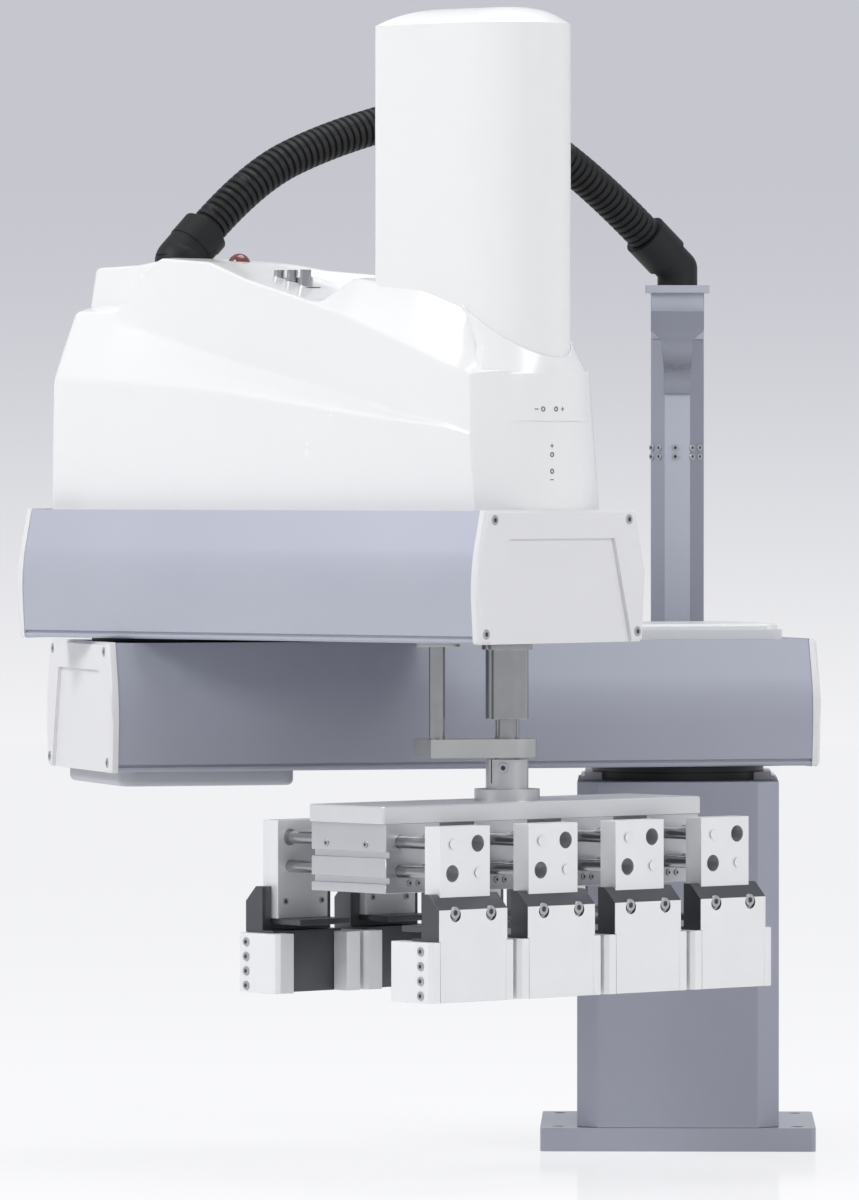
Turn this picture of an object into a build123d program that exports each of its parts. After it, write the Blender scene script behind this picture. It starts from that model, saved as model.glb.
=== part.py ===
from build123d import *
from math import cos, pi, radians, sin, tan
import os

# Table-mounted SCARA robot: base, two arms that turn, a shaft that slides and turns,
# and a plate with four parallel grippers. Origin: the arm 1 axis at the underside of the base.
# +X is to the viewer's right, +Y away from the viewer, +Z up.

# Reach, and the turn of each part in the modelled pose, in degrees
arm1_reach = 550.0
arm2_reach = 450.0
arm1_turn = 18.0  # from -X towards the front
arm2_turn = 39.0  # from +X towards the front
tool_turn = 46.0  # the jaws' opening line, from +X towards the front

# Gaps
seam = 0.3  # between pieces that turn or slide on each other
running_fit = 0.3  # round shafts, rods and spigots, on the radius
past = 1.0  # how far a cut runs past the face it starts from
shaft_end_gap = 5.0  # between an output shaft and the floor of its bore

# Base
plate_width = 288.0
plate_front = 118.0  # in front of the arm 1 axis
plate_back = 135.0  # behind it
plate_thick = 24.5
plate_corner = 6.0
bolt_pitch_x = 250.0
bolt_pitch_y = 200.0
bolt_hole_radius = 6.6
column_width = 211.0
column_back = 112.0
column_height = 361.5
column_wall = 9.0
column_bevel = 22.0
deck_width = 204.0
deck_layer = 4.0
ring_radius = 90.5
ring_height = 8.0
drive_length = 94.0  # arm 1's reducer, below the deck
reducer1_radius = 81.5
reducer1_bore_floor = 40.0  # above the foot of the reducer
motor1_half = 50.0
motor1_corner = 12.0
motor1_length = 210.0
spigot_radius = 24.0  # output shafts of the reducers
output_radius = 65.0
output_thick = 14.0

# Arms: one aluminium section for both
beam_height = 132.0
beam_foot_half = 128.0
beam_crease_half = 133.0
beam_crease_up = 69.0
beam_top_half = 117.0
beam_wall = 8.0
beam_lower_round = 4.0
groove_up = 4.5
groove_tall = 3.0
groove_deep = 2.0
arm1_tail = 105.7  # beam behind the arm 1 axis
arm1_nose = 94.6  # beam past the arm 2 axis
arm2_tail = 93.0
arm2_nose = 63.5
cap_thick = 9.0
cap_proud = 0.8
cap_bevel = 3.0
cap_recess_deep = 4.0
cap_recess_top_half = 83.0
cap_recess_foot_half = 111.0
cap_recess_up = 104.0
access_radius = 78.0  # openings in arm 1 under its covers
reducer2_radius = 80.0
reducer2_up = 30.0  # its foot above the floor of arm 1
reducer2_bore_floor = 10.0
bridge_wide = 60.0  # the bar across arm 1's floor that carries the reducer
bridge_over = 20.0
j2_ring_radius = 86.0
j2_ring_height = 4.3
window_half = 84.0  # opening in the top of arm 2 under the housing
window_end = 48.0  # window past the shaft and short of the arm 2 axis
window_corner = 20.0
rim_slot_along = -63.0
rim_slot_long = 44.0
rim_slot_wide = 8.0
rim_slot_in = 9.0  # its middle in from the top edge of the beam

# Covers on arm 1
top_cover_half = 90.0
top_cover_step = 4.0
top_cover_low = 10.0
top_cover_high = 6.0
cover_corner = 16.0
bottom_cover_back = 100.0  # behind the arm 2 axis
bottom_cover_front = 87.0
bottom_cover_half = 112.0
bottom_cover_deep = 15.5
bottom_cover_edge = 6.0
bottom_cover_wall = 8.0
bottom_cover_floor = 4.0
top_cover_edge = 2.5

# Housing on arm 2
cover_wall = 3.5
cover_half = 98.0
cover_rear = 89.0  # behind the arm 2 axis
cover_rear_round = 22.0
cover_crown = 69.0  # its front past the shaft axis
cover_corner_along = 40.0  # its front corners past the shaft axis
cover_lean_rear = 6.0  # how far its ends lean in, from foot to roof
cover_lean_corner = 26.0
cover_lean_nose = 5.0
roof_over = 270.0  # above every part of the roof
collar_up = 90.0  # its foot above the top of arm 2
collar_middle_up = 137.0
collar_seam_up = 203.0  # where it meets the side of the tower
collar_slope = 0.76  # fall of that seam towards the nose
collar_proud = 2.5
collar_lip = 1.5  # how far its top edge stands off the tower
collar_corner = 8.0

# Fittings in its roof
trim_fit = 0.1
lamp_along = 90.0
lamp_radius = 14.0
lamp_dome = 11.4
lamp_seat = 248.6
lamp_thick = 12.0
air_middle = 170.0
air_side = -8.0
air_long = 62.0
air_wide = 24.0
air_seat = 216.0
air_plate_thick = 12.0
air_corner = 6.0
air_pitch = 18.0
air_nut_radius = 7.5
air_nut_tall = 10.0
air_tube_radius = 5.5
air_tube_up = 18.0  # above the plate

# Tower round the shaft
tower_radius = 64.0
tower_back = 125.0  # behind the shaft axis
tower_wall = 3.5
tower_up = 129.0  # its foot above the top of arm 2
tower_spare = 27.6  # above the shaft's end at the top of its stroke
tower_cap_rise = 18.0
tower_corner = 9.0

# Drives in arm 2
motor_half = 40.0
motor_corner = 8.0
motor2_length = 230.0
z_motor_back = 235.0  # behind the shaft
z_motor_length = 178.0
u_motor_back = 120.0
u_motor_half = 32.0
u_motor_length = 98.0
nut_radius = 30.0
pulley_radius = 38.0
motor_pulley_radius = 18.0
spline_nut_length = 132.0
ball_nut_length = 80.0
belt_width = 16.0
belt_thick = 3.0
belt_down = 8.0  # below the end of its nut

# Shaft and what hangs on it
shaft_radius = 12.5
shaft_bore = 7.0
shaft_length = 738.0
stroke_up = 15.0  # of the 200 mm stroke, above the modelled pose
spline_groove = 2.0
sleeve_radius = 21.7
sleeve_drop = 78.0  # below arm 2
sleeve_flange_radius = 25.5
sleeve_flange_thick = 8.0
rod_radius = 8.2
rod_distance = 73.6
rod_turn = 18.0  # the link's line, from -X towards the front
rod_length = 317.0
bush_radius = 23.0
bush_body_radius = 15.0
bush_flange = 4.8
bush_tall = 50.0
link_thick = 18.5
link_half = 30.0
link_tail = 89.0
hub_radius = 21.5
hub_height = 30.0
hub_slit = 1.6
slit_up = 6.0
hub_gap = 2.2  # between the hub and the link
flange_radius = 33.0
flange_thick = 11.3
tool_drop = 159.6  # from the underside of arm 2 to the top of the tool plate

# Tool plate and grippers: x along the jaws' travel, y along the row
tool_plate_long = 440.0
tool_plate_wide = 110.0
tool_plate_thick = 17.3
tool_plate_corner = 4.0
tool_plate_edge = 1.5
gripper_count = 4
gripper_pitch = 119.4
body_wide = 73.0
body_tall = 69.0
slot_tall = 6.0
slot_deep = 5.0
slot_drops = (31.0, 56.5)  # middle of each slot below the tool plate
jaw_plate_inner = 108.5
jaw_plate_thick = 22.5
jaw_plate_wide = 67.0
jaw_plate_tall = 98.5
jaw_drop = 0.8  # below the underside of the tool plate
jaw_rod_radius = 6.2
jaw_rod_spread = 17.0
jaw_rod_high = 18.0  # below the tool plate
jaw_rod_low = 47.0
jaw_rod_reach = 104.0  # how far each rod comes out on the other side
rod_end_radius = 4.6
rod_end_proud = 1.2
clearance_radius = 8.3
finger_wide = 92.0
finger_front = 143.0
finger_inner = 118.0
finger_toe = 102.0
finger_tall = 106.0
finger_toe_tall = 62.0
finger_bevel = 15.0
finger_low = 173.0  # foot of the fingers below the tool plate
finger_fit = 0.2
screw_fit = 0.05  # between pieces that are screwed together
finger_screw_spread = 24.0
finger_screw_down = 20.0
counterbore_radius = 7.0
counterbore_deep = 4.0
guide_end = 82.0
guide_tall = 59.5
guide_thick = 10.0
guide_step = 2.0  # how far a finger is cut back where a guide sits
guide_grip = 8.4  # how far a guide reaches inwards past the finger's cheek
guide_bevel = 4.0
stop_end = 75.0
stop_thick = 6.0

# Post behind the base, and the conduit from it to arm 2's housing
post_front = 184.0
post_deep = 38.0
post_half = 28.6
post_face_half = 13.7
post_wall = 3.0
post_foot = 300.0
post_tall = 552.0
neck_tall = 8.0
head_tall = 42.0
head_edge = 0.6
head_wall = 6.0
head_flange = 8.0
head_flange_over = 6.0
head_flange_corner = 4.0
bracket_down = 6.0  # below the top of the column
panel_half = 75.0
panel_deep = 36.0
panel_edge = 4.0
panel_down = 20.0  # below the foot of the post
socket_pitch = 60.0
socket_radius = 13.5
socket_deep = 6.0
conduit_radius = 19.5
fitting_radius = 21.5
fitting_collar = 24.5
fitting_collar_long = 36.0
fitting_long = 56.0
fitting_bend = 18.0  # centre of the elbow above the post
post_fitting_rise = 40.0  # degrees above level
swivel_radius = 30.0  # disc of the fitting that turns in the housing's roof
swivel_seat = 240.0  # its foot above the top of arm 2
swivel_top = 260.35
cover_fitting_rise = 44.5
cover_fitting_radius = 23.0
cover_collar = 26.0
cover_collar_long = 25.0
mouth_out = 37.8  # where the conduit enters it, out from the arm 2 axis
mouth_up = 28.9  # and above the swivel


def turned(angle, toward):
    return (toward * cos(radians(angle)), -sin(radians(angle)), 0)


base = Plane.XY
arm1 = Plane((0, 0, 0), x_dir=turned(arm1_turn, -1), z_dir=(0, 0, 1))
elbow_axis = arm1.from_local_coords((arm1_reach, 0, 0))
arm2 = Plane(elbow_axis, x_dir=turned(arm2_turn, 1), z_dir=(0, 0, 1))
shaft_axis = arm2.from_local_coords((arm2_reach, 0, 0))
tool = Plane(shaft_axis, x_dir=turned(tool_turn, 1), z_dir=(0, 0, 1))
link = Plane(shaft_axis, x_dir=turned(rod_turn, -1), z_dir=(0, 0, 1))

# Heights, from the base up
column_top = plate_thick + column_height
deck_top = column_top + 2 * deck_layer
arm1_low = deck_top + ring_height + seam
arm1_floor = arm1_low + beam_wall
arm1_high = arm1_low + beam_height
arm2_low = arm1_high + j2_ring_height + seam
arm2_floor = arm2_low + beam_wall
arm2_high = arm2_low + beam_height
plate_top = arm2_low - tool_drop
plate_low = plate_top - tool_plate_thick
flange_top = plate_top + flange_thick
hub_top = flange_top + hub_height
link_low = hub_top + hub_gap
tower_foot = arm2_high + tower_up
tower_top = plate_top + shaft_length + stroke_up + tower_spare
tower_tall = tower_top - tower_foot


def level(frame, z, along=0.0, side=0.0):
    return Plane(frame.location * Location((along, side, z)))


def section(frame, along):
    return Plane(frame.location * Plane.YZ.offset(along).location)


def side_view(frame, side=0.0):
    return Plane(frame.location * Plane.XZ.offset(-side).location)


def bore(frame, low, high, radius, along=0.0, side=0.0):
    with BuildSketch(level(frame, low, along, side)) as round_plan:
        Circle(radius)
    extrude(round_plan.sketch, amount=high - low, mode=Mode.SUBTRACT)


def disc(frame, low, high, radius, along=0.0, side=0.0):
    with BuildSketch(level(frame, low, along, side)) as round_plan:
        Circle(radius)
    extrude(round_plan.sketch, amount=high - low)


def slab(frame, low, high, long, wide, along=0.0, side=0.0, corner=0.0, mode=Mode.ADD):
    with BuildSketch(level(frame, low, along, side)) as slab_plan:
        if corner:
            RectangleRounded(long, wide, corner)
        else:
            Rectangle(long, wide)
    extrude(slab_plan.sketch, amount=high - low, mode=mode)


os.makedirs("parts", exist_ok=True)


def save(builder, label):
    builder.part.label = label
    export_step(builder.part, f"parts/{label}.step")


# Base: bolted plate, box column, two deck layers
base_depth = plate_front + plate_back
base_middle = (plate_back - plate_front) / 2
with BuildPart() as base_plate:
    slab(base, 0, plate_thick, plate_width, base_depth, side=base_middle, corner=plate_corner)
    with Locations((0, base_middle, plate_thick)):
        with GridLocations(bolt_pitch_x, bolt_pitch_y, 2, 2):
            Hole(bolt_hole_radius)
save(base_plate, "base_plate")

column_depth = plate_front + column_back
column_middle = (column_back - plate_front) / 2
with BuildPart() as base_column:
    with BuildSketch(level(base, plate_thick, side=column_middle)) as column_plan:
        Rectangle(column_width, column_depth)
        chamfer(column_plan.vertices().group_by(Axis.Y)[0], column_bevel)
    extrude(amount=column_height)
    inside = column_width - 2 * column_wall
    slab(
        base, plate_thick - past, column_top - column_wall, inside,
        column_depth - 2 * column_wall - column_bevel, side=column_middle + column_bevel / 2,
        mode=Mode.SUBTRACT,
    )
    bore(base, column_top - column_wall - past, column_top + past, reducer1_radius + running_fit)
save(base_column, "base_column")

with BuildPart() as base_deck:
    for layer in (0, 1):
        width = deck_width - layer * 2 * deck_layer
        slab(
            base, column_top + layer * deck_layer, column_top + (layer + 1) * deck_layer, width, width,
            corner=plate_corner,
        )
    bore(base, column_top - past, deck_top + past, reducer1_radius + running_fit)
save(base_deck, "base_deck")

# Arm 1's reducer and motor hang in the column under the black ring
reducer1_low = deck_top - drive_length
with BuildPart() as j1_reducer:
    disc(base, deck_top, deck_top + ring_height, ring_radius)
    disc(base, reducer1_low, deck_top, reducer1_radius)
    bore(base, reducer1_low + reducer1_bore_floor, deck_top + ring_height, spigot_radius + running_fit)
save(j1_reducer, "j1_reducer")

with BuildPart() as j1_motor:
    slab(
        base, reducer1_low - motor1_length, reducer1_low, 2 * motor1_half, 2 * motor1_half,
        corner=motor1_corner,
    )
save(j1_motor, "j1_motor")

# Duct post: a bracket on the back of the column carries it
post_middle = post_front + post_deep / 2
post_top = post_foot + post_tall
neck_top = post_top + neck_tall
head_top = neck_top + head_tall
panel_top = post_foot - panel_down
with BuildPart() as post_bracket:
    slab(
        base, post_foot, column_top - bracket_down, 2 * post_half, post_front - column_back,
        side=(post_front + column_back) / 2,
    )
save(post_bracket, "post_bracket")

with BuildPart() as connector_panel:
    slab(
        base, panel_top - 2 * panel_half, panel_top, 2 * panel_half, panel_deep,
        side=column_back + panel_deep / 2,
    )
    fillet(faces().sort_by(Axis.Y)[-1].edges(), panel_edge)
    with BuildSketch(side_view(base, column_back + panel_deep)):
        with Locations((0, panel_top - panel_half)):
            with GridLocations(socket_pitch, socket_pitch, 2, 2):
                Circle(socket_radius)
    extrude(amount=-socket_deep)
save(connector_panel, "connector_panel")


def post_plan(z, face_half):
    shoulder = post_front + post_half - face_half
    with BuildSketch(base.offset(z)) as plan:
        with BuildLine():
            Polyline(
                (-face_half, post_front),
                (face_half, post_front),
                (post_half, shoulder),
                (post_half, post_front + post_deep),
                (-post_half, post_front + post_deep),
                (-post_half, shoulder),
                close=True,
            )
        make_face()
    return plan.sketch


with BuildPart() as duct_post:
    with BuildSketch(base.offset(post_foot)):
        add(post_plan(0, post_face_half))
        offset(amount=-post_wall, mode=Mode.SUBTRACT)
    extrude(amount=post_tall)
save(duct_post, "duct_post")

head_face_half = post_half - head_edge
with BuildPart() as post_head:
    loft([post_plan(post_top, post_face_half), post_plan(neck_top, head_face_half)], ruled=True)
    extrude(post_plan(neck_top, head_face_half), amount=head_tall)
    flange_long = 2 * (post_half + head_flange_over)
    flange_wide = post_deep + 2 * head_flange_over
    slab(
        base, head_top, head_top + head_flange, flange_long, flange_wide, side=post_middle,
        corner=head_flange_corner,
    )
    bore(base, post_top - past, head_top + head_flange + past, post_deep / 2 - head_wall, side=post_middle)
save(post_head, "post_head")

# Conduit: a swivel fitting on arm 2's axis, a fixed one on the post, and the hose between
post_foot_point = Vector(0, post_middle, head_top + head_flange)
elbow_foot = Vector(elbow_axis.X, elbow_axis.Y, 0)
plan_way = Vector(post_foot_point.X - elbow_foot.X, post_foot_point.Y - elbow_foot.Y, 0).normalized()


def along_route(distance, height):
    return elbow_foot + plan_way * distance + Vector(0, 0, height)


def route_way(rise, hand):
    return plan_way * (hand * cos(radians(rise))) + Vector(0, 0, sin(radians(rise)))


def pipe(end, way, length, radius):
    with BuildSketch(Plane(end - way * length, z_dir=way)) as ring:
        Circle(radius)
    extrude(ring.sketch, amount=length)


cover_way = route_way(cover_fitting_rise, 1)
post_way = route_way(post_fitting_rise, -1)
swivel_level = arm2_high + swivel_top
hose_start = along_route(mouth_out, swivel_level + mouth_up)
with BuildPart() as cover_fitting:
    pipe(hose_start, cover_way, 2 * mouth_up + cover_fitting_radius, cover_fitting_radius)
    pipe(hose_start, cover_way, cover_collar_long, cover_collar)
    split(bisect_by=base.offset(swivel_level), keep=Keep.TOP)
    disc(arm1, arm2_high + swivel_seat, swivel_level, swivel_radius, arm1_reach)
save(cover_fitting, "cover_fitting")

elbow_bend = post_foot_point + Vector(0, 0, fitting_bend)
hose_end = elbow_bend + post_way * fitting_long
with BuildPart() as post_fitting:
    disc(base, post_foot_point.Z, elbow_bend.Z, fitting_radius, side=post_middle)
    with Locations(elbow_bend):
        Sphere(fitting_radius)
    pipe(hose_end, post_way, fitting_long, fitting_radius)
    pipe(hose_end, post_way, fitting_collar_long, fitting_collar)
save(post_fitting, "post_fitting")

hose_route = [
    hose_start,
    hose_start + cover_way * 80,
    along_route(190, 1058),
    along_route(320, 1092),
    along_route(445, 1072),
    hose_end + post_way * 78,
    hose_end,
]


def hose_radii(points):
    radii = []
    for before, corner, after in zip(points, points[1:], points[2:]):
        half_turn = radians((corner - before).get_angle(after - corner)) / 2
        radii.append(0.45 * min((corner - before).length, (after - corner).length) / tan(half_turn))
    return radii


bends = hose_radii(hose_route)
with BuildPart() as conduit:
    with BuildLine() as hose_line:
        FilletPolyline(*hose_route, radius=bends)
    with BuildSketch(Plane(hose_route[0], z_dir=cover_way)):
        Circle(conduit_radius)
    sweep(path=hose_line.wires()[0])
save(conduit, "conduit")
hose_length = hose_line.wires()[0].length
print("conduit radii", [round(r) for r in bends], "length", round(hose_length))
print("conduit volume share", round(conduit.part.volume / (pi * conduit_radius**2 * hose_length), 4))


# One closed outline for beams and end caps, standing at height low
def beam_outline(low, grow=0.0):
    foot = beam_foot_half + grow
    crease = beam_crease_half + grow
    top = beam_top_half + grow
    with BuildLine() as ring:
        Polyline(
            (-foot, low - grow),
            (foot, low - grow),
            (crease, low + beam_crease_up),
            (top, low + beam_height + grow),
            (-top, low + beam_height + grow),
            (-crease, low + beam_crease_up),
            close=True,
        )
    make_face(ring.edges())


def beam(frame, low, start, end):
    with BuildSketch(section(frame, start)) as outline:
        beam_outline(low)
        fillet(outline.vertices().group_by(Axis.Y)[0], beam_lower_round)
        offset(amount=-beam_wall, mode=Mode.SUBTRACT)
        for hand in (-1, 1):
            with Locations((hand * beam_foot_half, low + groove_up + groove_tall / 2)):
                Rectangle(2 * groove_deep, groove_tall, mode=Mode.SUBTRACT)
    extrude(outline.sketch, amount=end - start)


def end_cap(frame, low, start, outward):
    arm_line = Axis((0, 0, 0), frame.x_dir)
    with BuildSketch(section(frame, start)) as outline:
        beam_outline(low, cap_proud)
        fillet(outline.vertices().group_by(Axis.Y)[0], beam_lower_round)
    extrude(outline.sketch, amount=outward * cap_thick)
    chamfer(faces().sort_by(arm_line)[-1 if outward > 0 else 0].edges(), cap_bevel)
    with BuildSketch(section(frame, start + outward * cap_thick)) as recess:
        with BuildLine():
            Polyline(
                (-cap_recess_top_half, low + cap_recess_up),
                (cap_recess_top_half, low + cap_recess_up),
                (cap_recess_foot_half, low - 2 * cap_proud),
                (-cap_recess_foot_half, low - 2 * cap_proud),
                close=True,
            )
        make_face()
    extrude(recess.sketch, amount=-outward * cap_recess_deep, mode=Mode.SUBTRACT)


# Arm 1
with BuildPart() as arm1_beam:
    beam(arm1, arm1_low, -arm1_tail, arm1_reach + arm1_nose)
    bore(arm1, arm1_low - past, arm1_floor + past, spigot_radius + running_fit)
    bore(arm1, arm1_high - beam_wall - past, arm1_high + past, access_radius)
    bore(arm1, arm1_low - past, arm1_floor + past, access_radius, arm1_reach)
    bore(arm1, arm1_high - beam_wall - past, arm1_high + past, reducer2_radius + running_fit, arm1_reach)
save(arm1_beam, "arm1_beam")

with BuildPart() as arm1_rear_cap:
    end_cap(arm1, arm1_low, -arm1_tail, -1)
save(arm1_rear_cap, "arm1_rear_cap")

with BuildPart() as arm1_front_cap:
    end_cap(arm1, arm1_low, arm1_reach + arm1_nose, 1)
save(arm1_front_cap, "arm1_front_cap")

cover_low_top = arm1_high + top_cover_low
with BuildPart() as arm1_top_cover:
    wide = 2 * top_cover_half
    slab(arm1, arm1_high, cover_low_top, wide, wide, corner=cover_corner)
    wide = wide - 2 * top_cover_step
    slab(arm1, cover_low_top, cover_low_top + top_cover_high, wide, wide, corner=cover_corner)
    chamfer(faces().sort_by(Axis.Z)[-1].edges(), top_cover_edge)
save(arm1_top_cover, "arm1_top_cover")

with BuildPart() as arm1_bottom_cover:
    long = bottom_cover_back + bottom_cover_front
    wide = 2 * bottom_cover_half
    middle = arm1_reach + (bottom_cover_front - bottom_cover_back) / 2
    slab(arm1, arm1_low - bottom_cover_deep, arm1_low, long, wide, middle, corner=cover_corner)
    fillet(faces().sort_by(Axis.Z)[0].edges(), bottom_cover_edge)
    hollow_floor = arm1_low - bottom_cover_deep + bottom_cover_floor
    long = long - 2 * bottom_cover_wall
    wide = wide - 2 * bottom_cover_wall
    corner = cover_corner - bottom_cover_wall
    slab(arm1, hollow_floor, arm1_low, long, wide, middle, corner=corner, mode=Mode.SUBTRACT)
save(arm1_bottom_cover, "arm1_bottom_cover")

with BuildPart() as j1_output:
    disc(arm1, arm1_floor, arm1_floor + output_thick, output_radius)
    disc(arm1, reducer1_low + reducer1_bore_floor + shaft_end_gap, arm1_floor, spigot_radius)
save(j1_output, "j1_output")

reducer2_low = arm1_floor + reducer2_up
with BuildPart() as j2_reducer:
    slab(arm1, arm1_floor, reducer2_low, bridge_wide, 2 * (access_radius + bridge_over), arm1_reach)
    disc(arm1, reducer2_low, arm1_high, reducer2_radius, arm1_reach)
    disc(arm1, arm1_high, arm1_high + j2_ring_height, j2_ring_radius, arm1_reach)
    bore(arm1, reducer2_low + reducer2_bore_floor, arm2_low, spigot_radius + running_fit, arm1_reach)
save(j2_reducer, "j2_reducer")

# Arm 2
rod_angle = radians(180 + rod_turn + arm2_turn)
rod_along = arm2_reach + rod_distance * cos(rod_angle)
rod_side = rod_distance * sin(rod_angle)
with BuildPart() as arm2_beam:
    beam(arm2, arm2_low, -arm2_tail, arm2_reach + arm2_nose)
    bore(arm2, arm2_low - past, arm2_floor + past, spigot_radius + running_fit)
    bore(arm2, arm2_low - past, arm2_floor + past, sleeve_radius, arm2_reach)
    bore(arm2, arm2_low - past, arm2_floor + past, bush_body_radius, rod_along, rod_side)
    slab(
        arm2, arm2_high - beam_wall - past, arm2_high + past, arm2_reach + 2 * window_end, 2 * window_half,
        arm2_reach / 2, corner=window_corner, mode=Mode.SUBTRACT,
    )
    slab(
        arm2, arm2_high - beam_wall - past, arm2_high + past, rim_slot_long, rim_slot_wide, rim_slot_along,
        rim_slot_in - beam_top_half, mode=Mode.SUBTRACT,
    )
save(arm2_beam, "arm2_beam")

with BuildPart() as arm2_rear_cap:
    end_cap(arm2, arm2_low, -arm2_tail, -1)
save(arm2_rear_cap, "arm2_rear_cap")

with BuildPart() as arm2_front_cap:
    end_cap(arm2, arm2_low, arm2_reach + arm2_nose, 1)
save(arm2_front_cap, "arm2_front_cap")

# Housing on arm 2: each row is a cross-section at a distance along the arm, with the side crease's height,
# then side and height of the upper crease, the roof edge, the top edge and the crown. On the far side the
# roof keeps a high rim behind the fittings, where a row has a second set of creases.
cover_rows = (
    (-100, 136, ((82, 172), (66, 205), (44, 210), (36, 250)), ()),
    (-17, 132, ((74, 190), (68, 204), (44, 211), (37, 253)), ()),
    (33, 130, ((73, 180), (62, 259), (52, 259.5), (40, 260)), ()),
    (105, 126, ((76, 161), (66, 254), (54, 254.5), (40, 255)), ()),
    (
        158, 121,
        ((78, 148), (70, 236), (58, 236.5), (42, 237)), ((78, 148), (68, 246), (57, 246.5), (46, 238)),
    ),
    (
        arm2_reach - 195, 109, ((82, 127), (75, 211), (62, 212), (44, 213)),
        ((82, 127), (70, 238), (60, 238.5), (48, 216)),
    ),
    (
        arm2_reach - 150, 103, ((85, 117), (77, 197), (62, 235), (44, 236)),
        ((85, 117), (72, 235), (62, 235.5), (44, 236)),
    ),
    (arm2_reach - 59, 91, ((94, 96), (83, 165), (63, 224), (44, 225)), ()),
    (arm2_reach, 84, ((96, 88), (88, 144), (64, 203), (44, 204)), ()),
    (arm2_reach + 33, 76, ((97, 79), (95, 136), (67, 145), (44, 146)), ()),
    (arm2_reach + 80, 66, ((97, 69), (95, 130), (67, 132), (44, 133)), ()),
)


def cover_plan(height, rear, corner, crown, inset):
    half = cover_half - inset
    with BuildSketch(level(arm2, arm2_high + height)) as plan:
        with BuildLine():
            Polyline(
                (corner - inset, -half), (rear + inset, -half), (rear + inset, half), (corner - inset, half),
            )
            ThreePointArc((corner - inset, half), (crown - inset, 0), (corner - inset, -half))
        make_face()
        fillet(plan.vertices().group_by(Axis.X)[0], cover_rear_round)
    return plan.sketch


def cover_side(floor, side_crease, creases, inset):
    half = [(cover_half - inset, floor), (cover_half - inset, side_crease - inset)]
    return half + [(side - inset, height - inset) for side, height in creases]


def cover_form(inset):
    floor = -past if inset else 0.0
    ribs = []
    for along, side_crease, near, far in cover_rows:
        far_side = cover_side(floor, side_crease, far or near, inset)
        near_side = cover_side(floor, side_crease, near, inset)
        ring = far_side + [(-side, height) for side, height in reversed(near_side)]
        with BuildSketch(section(arm2, along)) as rib:
            with BuildLine():
                Polyline(*[(side, arm2_high + height) for side, height in ring], close=True)
            make_face()
        ribs.append(rib.sketch)
    loft(ribs, ruled=True)
    corner = arm2_reach + cover_corner_along
    crown = arm2_reach + cover_crown
    low_plan = cover_plan(floor, -cover_rear, corner, crown, inset)
    high_corner = corner - cover_lean_corner
    high_plan = cover_plan(
        roof_over, cover_lean_rear - cover_rear, high_corner, crown - cover_lean_nose, inset,
    )
    loft([low_plan, high_plan], mode=Mode.INTERSECT)


def tower_plan(z, grow=0.0):
    reach = tower_radius + grow
    rear = -tower_back - grow
    with BuildSketch(level(arm2, z, arm2_reach)) as plan:
        with BuildLine():
            Polyline((0, -reach), (rear, -reach), (rear, reach), (0, reach))
            ThreePointArc((0, reach), (reach, 0), (0, -reach))
        make_face()
        fillet(plan.vertices().group_by(Axis.X)[0], tower_corner)
    return plan.sketch


with BuildPart() as cover_cavity:
    cover_form(cover_wall)

with BuildPart() as cover_block:
    cover_form(0.0)

with BuildPart() as arm2_cover:
    add(cover_block.part)
    add(cover_cavity.part, mode=Mode.SUBTRACT)
    extrude(tower_plan(tower_foot, running_fit), amount=tower_tall, mode=Mode.SUBTRACT)
    bore(arm2, arm2_high + swivel_seat, arm2_high + roof_over, swivel_radius + running_fit)
    bore(arm2, arm2_high + lamp_seat - past, arm2_high + roof_over, lamp_radius + trim_fit, lamp_along)
    slab(
        arm2, arm2_high + air_seat, arm2_high + roof_over, air_long, air_wide, air_middle, air_side,
        air_corner, mode=Mode.SUBTRACT,
    )
    add(arm2_front_cap.part, mode=Mode.SUBTRACT)
save(arm2_cover, "arm2_cover")

with BuildPart() as z_tower:
    extrude(tower_plan(tower_foot), amount=tower_tall)
    extrude(tower_plan(tower_foot - past, -tower_wall), amount=tower_tall + 2 * past, mode=Mode.SUBTRACT)
save(z_tower, "z_tower")

with BuildPart() as z_tower_cap:
    steps = ((0.0, 0.0), (0.4, -1.5), (0.7, -9.0), (1.0, -34.0))
    loft([tower_plan(tower_top + rise * tower_cap_rise, grow) for rise, grow in steps], ruled=True)
save(z_tower_cap, "z_tower_cap")


# Collar: the panel from the nose of the housing up to the slanted seam round the tower
collar_low = arm2_high + collar_up
collar_seam = arm2_high + collar_seam_up
collar_rear = -5.0  # behind the shaft axis, inside the housing


def nose_plan(up):
    share = up / roof_over
    corner = cover_corner_along - share * cover_lean_corner
    crown = cover_crown - share * cover_lean_nose + collar_proud
    half = cover_half - 2 * collar_proud
    with BuildSketch(level(arm2, arm2_high + up, arm2_reach)) as plan:
        with BuildLine():
            Polyline((corner, -half), (collar_rear, -half), (collar_rear, half), (corner, half))
            ThreePointArc((corner, half), (crown, 0), (corner, -half))
        make_face()
    return plan.sketch


seam_stretch = (1 + collar_slope**2) ** 0.5
seam_plane = Plane(
    arm2.from_local_coords((arm2_reach, 0, collar_seam)),
    x_dir=arm2.x_dir - arm2.z_dir * collar_slope, z_dir=arm2.x_dir * collar_slope + arm2.z_dir,
)
seam_half = tower_radius + collar_lip
with BuildSketch(seam_plane) as seam_plan:
    with BuildLine():
        Polyline((0, -seam_half), (collar_rear, -seam_half), (collar_rear, seam_half), (0, seam_half))
        EllipticalCenterArc(
            (0, 0), seam_half * seam_stretch, seam_half, start_angle=-90, arc_size=180,
        )
    make_face()

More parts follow.
